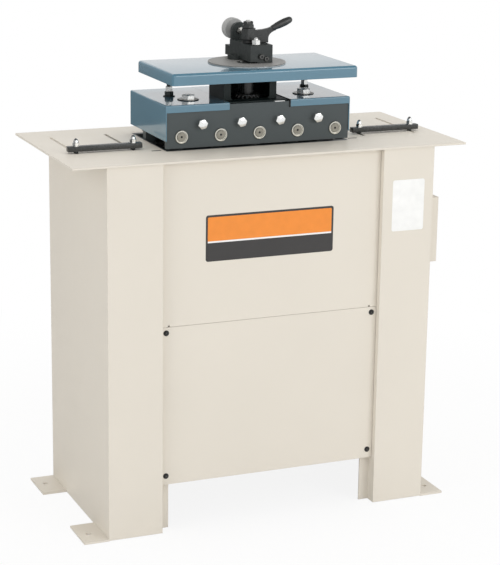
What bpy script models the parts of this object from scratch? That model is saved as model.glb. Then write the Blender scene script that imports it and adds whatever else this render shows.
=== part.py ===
"""A lock forming machine: a sheet-metal cabinet, a roll forming head with five geared roll
stations, and a power flanging attachment that stands on the head.

Metres, +Z up. X runs along the sheet's travel, -Y is the operator's side, and the origin
lies on the floor under the middle of the cabinet.
"""

import math

import bmesh
import bpy
from mathutils import Matrix, Vector

MM = 0.001
GAP = 0.3 * MM
JOIN = 1.0 * MM
OVERRUN = 6.0 * MM
FINE_SIDES, ROUND_SIDES, SMALL_SIDES, STUD_SIDES, HEX_SIDES = 32, 16, 12, 8, 6
FLAT_ANGLE = math.radians(1)

# Cabinet
table_width = 1005 * MM
table_depth = 467 * MM
table_top = 914 * MM
table_thickness = 5 * MM
table_overhang = 4.5 * MM
leg_spread = 838 * MM
leg_face = 136 * MM
leg_wall = 3 * MM
leg_return = 30.8 * MM
leg_flange = 25.5 * MM
leg_foot_clearance = 1.5 * MM
foot_reach = 61.6 * MM
foot_depth = 114.5 * MM
foot_thickness = 5 * MM
foot_hole_radius = 7 * MM
foot_hole_inset = 26 * MM
foot_hole_setback = 50 * MM
panel_depth = 14.8 * MM
panel_sheet = 2 * MM
panel_side_gap = 0.5 * MM
panel_bottom = 119 * MM
seam_height = 513.7 * MM
relief_inset = 20 * MM
relief_size = 4 * MM
shelf_top = 303 * MM
shelf_sheet = 3 * MM
shelf_lip = 28 * MM
shelf_length = 560 * MM

# Guide bars, whose slots lie between the table's ends and the head's sides
slot_width = 8 * MM
slot_front_inset = 161.5 * MM
slot_rear_inset = 83.5 * MM
left_slot_inset = 63.5 * MM
right_slot_inset = 56.5 * MM
left_slot_setback = 67 * MM
right_slot_setback = 63 * MM
left_guide_y = -61 * MM
right_guide_y = -42 * MM
bar_overhang = 21 * MM
bar_width = 18 * MM
bar_height = 12.5 * MM
bar_rise = 4 * MM
gauge_slot_length = 22 * MM
gauge_slot_width = 5 * MM
gauge_slot_setback = 20 * MM
gauge_slot_inset = 15 * MM
guide_stud_radius = 4.5 * MM
guide_stud_height = 19 * MM
guide_shank_radius = 3.7 * MM
guide_nut_radius = 8.5 * MM
guide_nut_height = 8 * MM
guide_washer_radius = 9 * MM
guide_clamp_length = 9 * MM

# Roll head
station_count = 5
station_pitch = 100 * MM
head_x = 6.5 * MM
head_left_reach = 237.5 * MM
head_right_reach = 235.5 * MM
head_front = -108 * MM
head_rear = 143 * MM
head_rise = 104 * MM
sheet_gap = 4.5 * MM
front_plate_thickness = 12 * MM
rear_plate_front = 50 * MM
rear_plate_thickness = 20 * MM
bed_depth = 69 * MM
bed_proud = 3.9 * MM
bed_wall = 4.5 * MM
bed_front_wall = 15.7 * MM
bed_flange = 15 * MM
bed_flange_thickness = 5 * MM
opening_clearance = 0.6 * MM
cover_rise = 4 * MM
cover_sheet = 2 * MM
cover_bend = 3 * MM
cover_lip = 17.5 * MM
cover_skirt_clearance = 23 * MM
cover_opening = 158.6 * MM
cover_opening_x = 7.5 * MM

# Gears and shafts
tooth_module = 4 * MM
roll_teeth, idler_teeth, flange_teeth = 15, 14, 9
addendum_share, dedendum_share = 0.7, 1.05
tip_half_share, root_half_share = 0.13, 0.335
gear_front = 75 * MM
gear_width = 14 * MM
upper_rise = 32 * MM
shaft_radius = 11 * MM
shaft_clearance = 0.5 * MM
shaft_front_proud = 1.5 * MM
shaft_rear_end = 91 * MM
roll_radius = 29.6 * MM
spacer_radius = 15 * MM
drive_roll_front = -88 * MM
drive_roll_rear = -60 * MM
form_roll_front = 16 * MM
form_roll_rear = 46 * MM
form_step = 6 * MM
form_ridge_front_share, form_ridge_rear_share = 0.3, 0.62
form_flank = 1.6 * MM
form_clearance = 1.2 * MM
bush_radius = 16 * MM
bush_proud = 2 * MM
bush_depth = 16 * MM
tie_radius = 8 * MM
tie_clearance = 0.4 * MM
tie_head_radius = 13.3 * MM
tie_head_length = 14 * MM
tie_shoulder_radius = 12 * MM
tie_nut_radius = 11.5 * MM
tie_nut_length = 8.5 * MM
hex_chamfer = 1.6 * MM

# Flanging drive: a bevel pair whose cone tips meet on the spindle's axis
flange_y = -27 * MM
bevel_module = 3.75 * MM
pinion_teeth, crown_teeth = 15, 16
bevel_face_share = 0.74
bevel_addendum_share, bevel_dedendum_share = 0.65, 0.95
bevel_tip_share, bevel_root_share = 0.12, 0.33
cross_radius = 8 * MM
cross_clearance = 0.4 * MM
crown_back = 34 * MM
pinion_back = 41 * MM
spindle_radius = 10 * MM
spindle_hub_radius = 15.5 * MM
spindle_hub_rise = 3 * MM
spindle_clearance = 0.5 * MM
flange_roll_radius = 25.4 * MM
flange_roll_clearance = 0.6 * MM

# Bracket and tray
bracket_left = -71.3 * MM
bracket_width = 137 * MM
bracket_front = -70.5 * MM
bracket_depth = 96 * MM
bracket_sheet = 3 * MM
bracket_top_plate = 8 * MM
bracket_post = 18 * MM
bracket_sill = 3.5 * MM
bracket_window_corner = 6 * MM
base_thickness = 3 * MM
base_setback = 7 * MM
tray_left = -228 * MM
tray_width = 478 * MM
tray_front = -141 * MM
tray_depth = 247 * MM
tray_rise = 78.5 * MM
tray_sheet = 3 * MM
tray_lip = 28 * MM
tray_corner = 7 * MM
tray_edge = 5 * MM
tray_hole_clearance = 1.6 * MM
disc_x = 13 * MM
disc_y = -8 * MM
disc_radius = 93 * MM
disc_thickness = 3 * MM
left_stud_x = -177 * MM
right_stud_x = 181 * MM
stud_y = 22 * MM
left_nut_x = -150 * MM
right_nut_x = 152 * MM
cover_nut_y = -37 * MM
cover_washer_radius = 26 * MM
cover_washer_height = 2 * MM
cover_nut_radius = 17.3 * MM
cover_nut_height = 10 * MM
stud_foot_radius = 14.5 * MM
stud_foot_height = 3.5 * MM
stud_low_nut_radius = 10.5 * MM
stud_low_nut_height = 9.5 * MM
stud_high_nut_radius = 9 * MM
stud_high_nut_height = 13 * MM
tray_stud_radius = 6 * MM

# Flanging head on the tray
block_left = 3 * MM
block_width = 58 * MM
block_front = -54 * MM
block_length = 132 * MM
block_height = 42.9 * MM
block_rabbet_width = 19 * MM
block_rabbet_height = 2.7 * MM
shoe_radius = 20 * MM
shoe_height = 10 * MM
shoe_inset = 88 * MM
shoe_proud = 22 * MM
lug_width = 36 * MM
lug_length = 32 * MM
lug_rise = 1.5 * MM
lug_height = 24.4 * MM
ear_radius = 20.5 * MM
ear_thickness = 13 * MM
ear_root = 3 * MM
stud_bore_depth = 20 * MM
axle_rise = 21.5 * MM
axle_radius = 6 * MM
axle_nut_radius = 8 * MM
axle_nut_length = 6 * MM
wheel_radius = 26 * MM
wheel_clearance = 22 * MM
wheel_width = 24 * MM
wheel_hub_radius = 11 * MM
wheel_chamfer = 2 * MM
clamp_x = 14 * MM
clamp_y = -12 * MM
clamp_stud_radius = 6 * MM
clamp_stud_depth = 18 * MM
clamp_stud_proud = 1 * MM
clamp_boss_radius = 18 * MM
clamp_boss_rise = 9 * MM
clamp_boss_height = 28 * MM
clamp_neck_radius = 14 * MM
clamp_nut_radius = 15 * MM
clamp_nut_height = 9 * MM
clamp_crown_radius = 11.8 * MM
clamp_crown_height = 7 * MM
clamp_slot_half = 1.8 * MM
clamp_slot_depth = 4.5 * MM
lever_reach = 72 * MM
lever_half = 4.5 * MM
grip_radius = 7.8 * MM
grip_root_radius = 6.8 * MM
grip_root_share = 0.87
grip_root_drop = 2.5 * MM
grip_reach = 45 * MM
grip_rise = 18.5 * MM
acorn_x = 22 * MM
acorn_y = -43 * MM
acorn_radius = 10.5 * MM
acorn_height = 9 * MM
acorn_dome_radius = 8.5 * MM
acorn_stud_radius = 5 * MM
acorn_stud_depth = 16 * MM
acorn_clearance = 0.4 * MM

# Drive in the cabinet
motor_rise = 92 * MM
motor_radius = 72 * MM
motor_front = -110 * MM
motor_rear = 80 * MM
motor_bell_radius = 60 * MM
motor_bell_length = 26 * MM
motor_face_radius = 80 * MM
motor_face_length = 22 * MM
motor_foot_half = 62 * MM
motor_foot_setback = 50 * MM
motor_foot_length = 105 * MM
motor_box_half = 38 * MM
motor_box_height = 24 * MM
motor_box_setback = 70 * MM
motor_box_length = 70 * MM
motor_shaft_radius = 12 * MM
motor_shaft_depth = 26 * MM
motor_bore_clearance = 0.6 * MM
motor_bore_depth = 28 * MM
driven_radius = 61.2 * MM
driven_hub_radius = 20 * MM
driven_hub_length = 6 * MM
motor_pulley_radius = 32 * MM
belt_depth = 8 * MM
belt_width = 11.4 * MM
belt_clearance = 1.2 * MM
groove_width = 12 * MM
pulley_front = 100 * MM
pulley_width = 18 * MM
shaft_end_proud = 4 * MM

# Switch
switch_depth = 38 * MM
switch_setback = 39 * MM
switch_width = 85 * MM
switch_bottom = 608 * MM
switch_height = 164 * MM
start_radius = 11 * MM
stop_radius = 16 * MM
stop_stem_radius = 8 * MM
start_proud = 4 * MM
stop_proud = 14 * MM
stop_head_thickness = 8 * MM
button_clearance = 0.5 * MM
button_well = 14 * MM
button_travel_room = 5 * MM
gland_radius = 10 * MM
gland_length = 9 * MM
gland_neck_radius = 7.5 * MM
gland_neck_length = 20 * MM
gland_bore_radius = 4 * MM

# Worked out from the values above
table_under = table_top - table_thickness
leg_depth = table_depth - 2 * table_overhang
leg_outer = leg_spread / 2
leg_inner = leg_outer - leg_face
leg_front = -leg_depth / 2
flange_front = leg_front + leg_return
panel_back = flange_front - GAP
panel_front = panel_back - panel_depth
panel_half = leg_inner - panel_side_gap
switch_front = leg_front + switch_setback
head_left = head_x - head_left_reach
head_right = head_x + head_right_reach
head_top = table_top + head_rise
left_slots = (left_slot_inset - table_width / 2, head_left - left_slot_setback)
right_slots = (head_right + right_slot_setback, table_width / 2 - right_slot_inset)
slot_front = slot_front_inset - table_depth / 2
slot_rear = table_depth / 2 - slot_rear_inset
plate_bottom = table_top + sheet_gap
bed_bottom = table_top - bed_depth
cover_top = head_top + cover_rise
cover_lip_bottom = cover_top - cover_lip
cover_skirt_bottom = table_top + cover_skirt_clearance
upper_height = table_top + upper_rise
lower_height = upper_height - roll_teeth * tooth_module
idler_distance = (roll_teeth + idler_teeth) / 2 * tooth_module
idler_height = upper_height + math.sqrt(idler_distance**2 - (station_pitch / 2) ** 2)
cross_height = upper_height + (roll_teeth + flange_teeth) / 2 * tooth_module
station_xs = [head_x + (k - (station_count - 1) / 2) * station_pitch for k in range(station_count)]
idler_xs = [x + station_pitch / 2 for x in station_xs[:-1]]
middle = station_count // 2
rear_plate_rear = rear_plate_front + rear_plate_thickness
crown_bottom = cross_height + crown_back
bracket_right = bracket_left + bracket_width
bracket_rear = bracket_front + bracket_depth
base_bottom = head_top + GAP
base_top = base_bottom + base_thickness
tray_top = cover_top + tray_rise
tray_right = tray_left + tray_width
tray_rear = tray_front + tray_depth
tray_under = tray_top - tray_sheet
bracket_top = tray_under - GAP
disc_bottom = tray_top + GAP
disc_top = disc_bottom + disc_thickness
block_bottom = disc_top + GAP
block_top = block_bottom + block_height
block_right = block_left + block_width
block_rear = block_front + block_length
axle_x = block_left + ear_radius + JOIN
axle_height = block_top + axle_rise
wheel_front = block_rear + wheel_clearance
clamp_boss_bottom = block_top + clamp_boss_rise
clamp_boss_top = clamp_boss_bottom + clamp_boss_height
motor_height = shelf_top + GAP + motor_rise
pulley_rear = pulley_front + pulley_width

AXES = {
    "X": Matrix.Rotation(math.pi / 2, 4, "Y"),
    "Y": Matrix.Rotation(-math.pi / 2, 4, "X"),
    "Z": Matrix.Identity(4),
}


# Scene, materials and objects
def clear_scene():
    for thing in list(bpy.data.objects):
        bpy.data.objects.remove(thing, do_unlink=True)


def new_collection(name):
    made = bpy.data.collections.new(name)
    bpy.context.scene.collection.children.link(made)
    return made


def finish(name, colour, roughness, metallic=0.0):
    made = bpy.data.materials.new(name)
    made.use_nodes = True
    shader = made.node_tree.nodes["Principled BSDF"]
    shader.inputs["Base Color"].default_value = (*colour, 1.0)
    shader.inputs["Roughness"].default_value = roughness
    shader.inputs["Metallic"].default_value = metallic
    return made


clear_scene()
parts = new_collection("lock_forming_machine")
cutters = new_collection("cutters")
COLOURS = {
    "cream_paint": ((0.76, 0.72, 0.63), 0.45, 0.0),
    "blue_paint": ((0.15, 0.25, 0.34), 0.3, 0.0),
    "dark_paint": ((0.1, 0.11, 0.12), 0.45, 0.0),
    "black_oxide": ((0.03, 0.035, 0.035), 0.45, 0.3),
    "bright_steel": ((0.75, 0.75, 0.74), 0.22, 1.0),
    "machined_steel": ((0.45, 0.44, 0.42), 0.35, 1.0),
    "roll_steel": ((0.2, 0.2, 0.2), 0.35, 1.0),
    "grey_knob": ((0.32, 0.32, 0.32), 0.6, 0.0),
    "belt_rubber": ((0.02, 0.02, 0.02), 0.8, 0.0),
    "motor_grey": ((0.2, 0.22, 0.24), 0.5, 0.0),
    "green_button": ((0.02, 0.3, 0.08), 0.35, 0.0),
    "red_button": ((0.5, 0.02, 0.02), 0.35, 0.0),
}


def smooth(mesh):
    mesh.shade_smooth()
    mesh.set_sharp_from_angle(angle=math.radians(35))
    return mesh


def add(name, mesh, paint, origin=(0, 0, 0)):
    """One piece of the machine, in its own material, with its origin where it turns."""
    origin = Vector(origin)
    mesh.transform(Matrix.Translation(-origin))
    made = bpy.data.objects.new(name, smooth(mesh))
    made.location = origin
    made.data.materials.append(finish(name + "_finish", *COLOURS[paint]))
    parts.objects.link(made)
    return made


def helper(mesh, name="tool"):
    made = bpy.data.objects.new(name, mesh)
    made.hide_render = True
    made.display_type = "WIRE"
    cutters.objects.link(made)
    return made


def combine(target, tool, operation):
    if not isinstance(tool, bpy.types.Object):
        tool = helper(tool)
    modifier = target.modifiers.new(operation.lower(), "BOOLEAN")
    modifier.operation = operation
    modifier.object = tool
    modifier.solver = "EXACT"
    return target


def join(target, *tools):
    for tool in tools:
        combine(target, tool, "UNION")
    return target


def cut(target, *tools):
    for tool in tools:
        combine(target, tool, "DIFFERENCE")
    return target


# Basic shapes, in world coordinates
def to_mesh(bm, name="shape"):
    mesh = bpy.data.meshes.new(name)
    bm.to_mesh(mesh)
    bm.free()
    return mesh


def box(low, high):
    low, high = Vector(low), Vector(high)
    bm = bmesh.new()
    bmesh.ops.create_cube(bm, size=1)
    scale = Matrix.Diagonal((*(high - low), 1))
    bmesh.ops.transform(bm, matrix=Matrix.Translation((high + low) / 2) @ scale, verts=bm.verts)
    return to_mesh(bm)


def rod(radius, start, end, centre, axis="Z", sides=ROUND_SIDES, end_radius=None):
    """A round or many-sided bar from start to end along an axis through centre."""
    bm = bmesh.new()
    other = radius if end_radius is None else end_radius
    bmesh.ops.create_cone(
        bm, cap_ends=True, segments=sides, radius1=radius, radius2=other, depth=end - start
    )
    lift = Matrix.Translation((0, 0, (start + end) / 2))
    bmesh.ops.transform(bm, matrix=Matrix.Translation(centre) @ AXES[axis] @ lift, verts=bm.verts)
    return to_mesh(bm)


def hex_head(radius, start, end, centre, axis="Z", chamfered="high"):
    """A hexagonal head or nut with a chamfer round its low or high end."""
    bm = bmesh.new()
    bmesh.ops.create_cone(
        bm, cap_ends=True, segments=HEX_SIDES, radius1=radius, radius2=radius, depth=end - start
    )
    level = (end - start) / 2 * (1 if chamfered == "high" else -1)
    rim = [e for e in bm.edges if all(abs(v.co.z - level) < GAP for v in e.verts)]
    bmesh.ops.bevel(bm, geom=rim, offset=hex_chamfer, segments=1, affect="EDGES", profile=0.5)
    lift = Matrix.Translation((0, 0, (start + end) / 2))
    bmesh.ops.transform(bm, matrix=Matrix.Translation(centre) @ AXES[axis] @ lift, verts=bm.verts)
    return to_mesh(bm)


def rods(radius, start, end, centres, axis, sides=SMALL_SIDES):
    """Several equal bars in one mesh, as a cutter for a row of bores."""
    bm = bmesh.new()
    for centre in centres:
        bm.from_mesh(rod(radius, start, end, centre, axis, sides))
    return to_mesh(bm)


def flat(outlines, start, end, axis="Z"):
    """A plate from start to end along an axis. The first outline is its edge and the others
    are holes; points are (x, y) for Z, (x, z) for Y and (y, z) for X."""
    curve = bpy.data.curves.new("outline", "CURVE")
    curve.dimensions = "2D"
    curve.fill_mode = "BOTH"
    curve.extrude = (end - start) / 2
    for outline in outlines:
        spline = curve.splines.new("POLY")
        spline.points.add(len(outline) - 1)
        spline.use_cyclic_u = True
        for point, (u, v) in zip(spline.points, outline):
            x, y = {"X": (-v, u), "Y": (u, -v), "Z": (u, v)}[axis]
            point.co = (x, y, 0, 1)
    drawn = bpy.data.objects.new("outline", curve)
    cutters.objects.link(drawn)
    graph = bpy.context.evaluated_depsgraph_get()
    mesh = bpy.data.meshes.new_from_object(drawn.evaluated_get(graph))
    bpy.data.objects.remove(drawn, do_unlink=True)
    bm = bmesh.new()
    bm.from_mesh(mesh)
    bmesh.ops.remove_doubles(bm, verts=bm.verts, dist=GAP / 100)
    bmesh.ops.recalc_face_normals(bm, faces=bm.faces)
    bmesh.ops.dissolve_limit(bm, angle_limit=FLAT_ANGLE, verts=[], edges=bm.edges)
    lift = Matrix.Translation((0, 0, (start + end) / 2))
    bmesh.ops.transform(bm, matrix=AXES[axis] @ lift, verts=bm.verts)
    return to_mesh(bm)


def rectangle(left, right, low, high):
    return [(left, low), (right, low), (right, high), (left, high)]


def circle(u, v, radius, sides=SMALL_SIDES):
    turns = [2 * math.pi * k / sides for k in range(sides)]
    return [(u + radius * math.cos(a), v + radius * math.sin(a)) for a in turns]


def turned(name, profile, centre, axis, paint, steps=SMALL_SIDES):
    """A turned piece. The profile's (radius, height) points run down its outer side."""
    mesh = bpy.data.meshes.new(name)
    edges = [(k, k + 1) for k in range(len(profile) - 1)]
    mesh.from_pydata([(radius, 0, height) for radius, height in profile], edges, [])
    made = bpy.data.objects.new(name, mesh)
    made.matrix_world = Matrix.Translation(centre) @ AXES[axis]
    screw = made.modifiers.new("turn", "SCREW")
    screw.steps = steps
    screw.render_steps = steps
    screw.use_merge_vertices = True
    screw.merge_threshold = GAP / 100
    screw.use_smooth_shade = False
    if paint:
        made.data.materials.append(finish(name + "_finish", *COLOURS[paint]))
        parts.objects.link(made)
    else:
        made.hide_render = True
        made.display_type = "WIRE"
        cutters.objects.link(made)
    return made


def shell(name, low, high, open_sides, thickness, paint, bend=0.0, corner=0.0):
    """A folded sheet box with some sides left open, such as {"-Z", "+X"}."""
    bm = bmesh.new()
    bm.from_mesh(box(low, high))
    bm.normal_update()
    signs = {"X": Vector((1, 0, 0)), "Y": Vector((0, 1, 0)), "Z": Vector((0, 0, 1))}
    open_normals = [signs[side[1]] * (1 if side[0] == "+" else -1) for side in open_sides]
    if corner:
        upright = [e for e in bm.edges if e.verts[0].co.xy == e.verts[1].co.xy]
        bmesh.ops.bevel(bm, geom=upright, offset=corner, segments=3, affect="EDGES", profile=0.5)
        bm.normal_update()
    gone = [f for f in bm.faces if any(f.normal.dot(n) > 0.999 for n in open_normals)]
    bmesh.ops.delete(bm, geom=gone, context="FACES")
    if bend:
        bm.normal_update()
        up = [f for f in bm.faces if f.normal.z > 0.999]
        folds = {e for f in up for e in f.edges if not e.is_boundary}
        bmesh.ops.bevel(bm, geom=list(folds), offset=bend, segments=2, affect="EDGES", profile=0.5)
    made = add(name, to_mesh(bm), paint)
    sheet = made.modifiers.new("sheet", "SOLIDIFY")
    sheet.thickness = thickness
    sheet.offset = -1
    sheet.use_even_offset = True
    return made


def folded(name, path, start, end, thickness, paint, axis="Z"):
    """A sheet folded along a path and run from start to end. Its outer face is on the
    path's right, seen from the end of the run."""
    bm = bmesh.new()
    low = [bm.verts.new((u, v, start)) for u, v in path]
    high = [bm.verts.new((u, v, end)) for u, v in path]
    for k in range(len(path) - 1):
        bm.faces.new((low[k], low[k + 1], high[k + 1], high[k]))
    if axis == "X":
        turn = Matrix(((0, 0, 1, 0), (1, 0, 0, 0), (0, 1, 0, 0), (0, 0, 0, 1)))
        bmesh.ops.transform(bm, matrix=turn, verts=bm.verts)
    made = add(name, to_mesh(bm), paint)
    sheet = made.modifiers.new("sheet", "SOLIDIFY")
    sheet.thickness = thickness
    sheet.offset = -1
    sheet.use_even_offset = True
    return made


# Gears
def mesh_phase(driver_phase, driver_teeth, direction, driven_teeth):
    """The angle of a tooth on a gear that lies in this direction from its driver, so that
    the tooth of one meets the gap of the other."""
    share = driver_teeth * (direction - driver_phase) / (2 * math.pi)
    return direction + math.pi + 2 * math.pi * (share - 1 / 2) / driven_teeth


def gear_outline(x, z, teeth, phase):
    pitch_radius = teeth * tooth_module / 2
    tip = pitch_radius + addendum_share * tooth_module
    root = pitch_radius - dedendum_share * tooth_module
    step = 2 * math.pi / teeth
    corners = (
        (root, -root_half_share),
        (tip, -tip_half_share),
        (tip, tip_half_share),
        (root, root_half_share),
    )
    points = []
    for k in range(teeth):
        for radius, share in corners:
            angle = phase + (k + share) * step
            points.append((x + radius * math.cos(angle), z + radius * math.sin(angle)))
    return points


def gear(x, z, teeth, phase, bore=None):
    outlines = [gear_outline(x, z, teeth, phase)]
    if bore:
        outlines.append(circle(x, z, bore))
    return flat(outlines, gear_front, gear_front + gear_width, "Y")


def bevel_gear(teeth, mate_teeth, phase, back):
    """A bevel gear about Z with its cone's tip at the origin and its back at height back."""
    pitch_radius = teeth * bevel_module / 2
    pitch_height = mate_teeth * bevel_module / 2
    cone = math.atan2(pitch_radius, pitch_height)
    step = 2 * math.pi / teeth
    corners = (
        (-bevel_dedendum_share, -bevel_root_share),
        (bevel_addendum_share, -bevel_tip_share),
        (bevel_addendum_share, bevel_tip_share),
        (-bevel_dedendum_share, bevel_root_share),
    )
    bm = bmesh.new()
    rings = []
    for scale in (bevel_face_share, 1.0):
        ring = []
        for k in range(teeth):
            for height_share, share in corners:
                height = height_share * bevel_module
                radius = (pitch_radius + height * math.cos(cone)) * scale
                level = (pitch_height - height * math.sin(cone)) * scale
                angle = phase + (k + share) * step
                ring.append(bm.verts.new((radius * math.cos(angle), radius * math.sin(angle), level)))
        rings.append(ring)
    root_radius = pitch_radius - bevel_dedendum_share * bevel_module * math.cos(cone)
    angles = [phase + (k + share) * step for k in range(teeth) for _, share in corners]
    rings.append([bm.verts.new((root_radius * math.cos(a), root_radius * math.sin(a), back)) for a in angles])
    count = len(rings[0])
    for low, high in zip(rings, rings[1:]):
        for k in range(count):
            bm.faces.new((low[k], low[(k + 1) % count], high[(k + 1) % count], high[k]))
    nose = bm.verts.new((0, 0, pitch_height * bevel_face_share))
    tail = bm.verts.new((0, 0, back))
    for k in range(count):
        bm.faces.new((nose, rings[0][(k + 1) % count], rings[0][k]))
        bm.faces.new((tail, rings[-1][k], rings[-1][(k + 1) % count]))
    bmesh.ops.recalc_face_normals(bm, faces=bm.faces)
    return bm


# Cabinet
def leg(name, side):
    path = [
        (leg_inner - leg_flange, flange_front),
        (leg_inner, flange_front),
        (leg_inner, leg_front),
        (leg_outer, leg_front),
        (leg_outer, -leg_front),
        (leg_inner, -leg_front),
        (leg_inner, -flange_front),
        (leg_inner - leg_flange, -flange_front),
    ]
    if side < 0:
        path = [(-x, y) for x, y in reversed(path)]
    made = folded(name, path, leg_foot_clearance, table_under - GAP, leg_wall, "cream_paint")
    for end in (-1, 1):
        near, far = sorted((side * (leg_outer - leg_wall / 2), side * (leg_outer + foot_reach)))
        low_y, high_y = sorted((-end * leg_front, -end * (leg_front + foot_depth)))
        join(made, box((near, low_y, 0), (far, high_y, foot_thickness)))
        hole = (side * (leg_outer + foot_reach - foot_hole_inset), -end * (leg_front + foot_hole_setback), 0)
        cut(made, rod(foot_hole_radius, -OVERRUN, foot_thickness + OVERRUN, hole, sides=SMALL_SIDES))


def table():
    edge = rectangle(-table_width / 2, table_width / 2, -table_depth / 2, table_depth / 2)
    opening_left, opening_right = head_left - opening_clearance, head_right + opening_clearance
    holes = [rectangle(opening_left, opening_right, head_front - bed_proud, head_rear)]
    for x in (*left_slots, *right_slots):
        holes.append(rectangle(x - slot_width / 2, x + slot_width / 2, slot_front, slot_rear))
    gauge_y = head_front + gauge_slot_inset
    for x in (head_left - gauge_slot_setback, head_right + gauge_slot_setback):
        half_x, half_y = gauge_slot_length / 2, gauge_slot_width / 2
        holes.append(rectangle(x - half_x, x + half_x, gauge_y - half_y, gauge_y + half_y))
    add("table_top", flat([edge, *holes], table_under, table_top), "cream_paint")


def front_panel(name, low, high, notch_at_bottom):
    made = shell(
        name,
        (-panel_half, panel_front, low),
        (panel_half, panel_back, high),
        {"+Y"},
        panel_sheet,
        "cream_paint",
    )
    if notch_at_bottom:
        for x in (relief_inset - panel_half, panel_half - relief_inset):
            low_corner = (x - relief_size / 2, panel_front - OVERRUN, low - OVERRUN)
            cut(made, box(low_corner, (x + relief_size / 2, panel_front + OVERRUN, low + relief_size)))


def rear_panel():
    shell(
        "rear_panel",
        (-panel_half, -panel_back, panel_bottom),
        (panel_half, -panel_front, table_under - GAP),
        {"-Y"},
        panel_sheet,
        "cream_paint",
    )


def motor_shelf():
    half = -flange_front - leg_wall - GAP
    low = shelf_top - shelf_lip
    path = [(half, low), (half, shelf_top), (-half, shelf_top), (-half, low)]
    folded("motor_shelf", path, -shelf_length / 2, shelf_length / 2, shelf_sheet, "dark_paint", "X")


def guide_bar(name, slots, y):
    """A bar on two studs that slide in the table's slots and clamp from below."""
    low = table_top + bar_rise
    high = low + bar_height
    left, right = slots[0] - bar_overhang, slots[1] + bar_overhang
    made = add(
        name,
        box((left, y - bar_width / 2, low), (right, y + bar_width / 2, high)),
        "black_oxide",
        ((left + right) / 2, y, table_top),
    )
    profile = [
        (0, high + guide_stud_height),
        (guide_stud_radius, high + guide_stud_height),
        (guide_stud_radius, high + guide_nut_height),
        (guide_nut_radius, high + guide_nut_height),
        (guide_nut_radius, high - JOIN),
        (guide_stud_radius, high - JOIN),
        (guide_stud_radius, low + JOIN),
        (guide_washer_radius, low + JOIN),
        (guide_washer_radius, table_top + GAP),
        (guide_shank_radius, table_top + GAP),
        (guide_shank_radius, table_under - GAP),
        (guide_nut_radius, table_under - GAP),
        (guide_nut_radius, table_under - guide_clamp_length),
        (0, table_under - guide_clamp_length),
    ]
    for stud_x in slots:
        stud = turned(name + "_stud", profile, (stud_x, y, 0), "Z", None, STUD_SIDES)
        join(made, stud)


# Drive in the cabinet
def gear_motor():
    """A round motor with a fan bell, a gear face, a cast foot and a terminal box on top."""
    centre = (head_x, 0, motor_height)
    foot_front = motor_front + motor_foot_setback
    box_front = motor_front + motor_box_setback
    box_top = motor_height + motor_radius + motor_box_height
    bore = motor_shaft_radius + motor_bore_clearance
    body = rod(motor_radius, motor_front, motor_rear, centre, "Y")
    made = add("gear_motor", body, "motor_grey")
    join(
        made,
        rod(motor_bell_radius, motor_front - motor_bell_length, motor_front + JOIN, centre, "Y"),
        rod(motor_face_radius, motor_rear - motor_face_length, motor_rear - JOIN, centre, "Y"),
        box(
            (head_x - motor_foot_half, foot_front, shelf_top + GAP),
            (head_x + motor_foot_half, foot_front + motor_foot_length, motor_height - motor_radius / 2),
        ),
        box(
            (head_x - motor_box_half, box_front, motor_height + motor_radius / 2),
            (head_x + motor_box_half, box_front + motor_box_length, box_top),
        ),
    )
    cut(made, rod(bore, motor_rear - motor_bore_depth, motor_rear + OVERRUN, centre, "Y", SMALL_SIDES))


def pulley_profile(rim, rear_end, front_end, shaft):
    """A grooved pulley with a shaft through it, as (radius, height) points."""
    floor = rim - belt_depth
    side = (pulley_width - groove_width) / 2
    return [
        (0, rear_end),
        (shaft, rear_end),
        (shaft, pulley_rear),
        (rim, pulley_rear),
        (rim, pulley_rear - side),
        (floor, pulley_rear - side),
        (floor, pulley_front + side),
        (rim, pulley_front + side),
        (rim, pulley_front),
        (shaft, pulley_front),
        (shaft, front_end),
        (0, front_end),
    ]


def motor_pulley():
    rear_end = pulley_rear + shaft_end_proud
    front_end = motor_rear - motor_shaft_depth
    profile = pulley_profile(motor_pulley_radius, rear_end, front_end, motor_shaft_radius)
    turned("motor_pulley", profile, (head_x, 0, motor_height), "Y", "machined_steel", ROUND_SIDES)


def driven_pulley():
    """It is keyed on the long rear end of the middle lower shaft."""
    bore = shaft_radius + GAP
    side = (pulley_width - groove_width) / 2
    floor = driven_radius - belt_depth
    profile = [
        (bore, pulley_rear),
        (driven_radius, pulley_rear),
        (driven_radius, pulley_rear - side),
        (floor, pulley_rear - side),
        (floor, pulley_front + side),
        (driven_radius, pulley_front + side),
        (driven_radius, pulley_front),
        (driven_hub_radius, pulley_front),
        (driven_hub_radius, pulley_front - driven_hub_length),
        (bore, pulley_front - driven_hub_length),
        (bore, pulley_rear),
    ]
    turned("driven_pulley", profile, (head_x, 0, lower_height), "Y", "machined_steel", ROUND_SIDES)


def belt_outline(offset):
    """An outline round both pulleys, at a distance outside the bottoms of their grooves."""
    top = driven_radius - belt_depth + offset
    low = motor_pulley_radius - belt_depth + offset
    span = lower_height - motor_height
    lean = math.asin((top - low) / span)
    arc_steps = 10
    points = []
    for k in range(arc_steps + 1):
        angle = -lean + (math.pi + 2 * lean) * k / arc_steps
        points.append((head_x + top * math.cos(angle), lower_height + top * math.sin(angle)))
    for k in range(arc_steps + 1):
        angle = math.pi + lean + (math.pi - 2 * lean) * k / arc_steps
        points.append((head_x + low * math.cos(angle), motor_height + low * math.sin(angle)))
    return points


def drive_belt():
    middle_y = pulley_front + pulley_width / 2
    outlines = [belt_outline(belt_clearance + belt_depth), belt_outline(belt_clearance)]
    mesh = flat(outlines, middle_y - belt_width / 2, middle_y + belt_width / 2, "Y")
    add("drive_belt", mesh, "belt_rubber")


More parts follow.
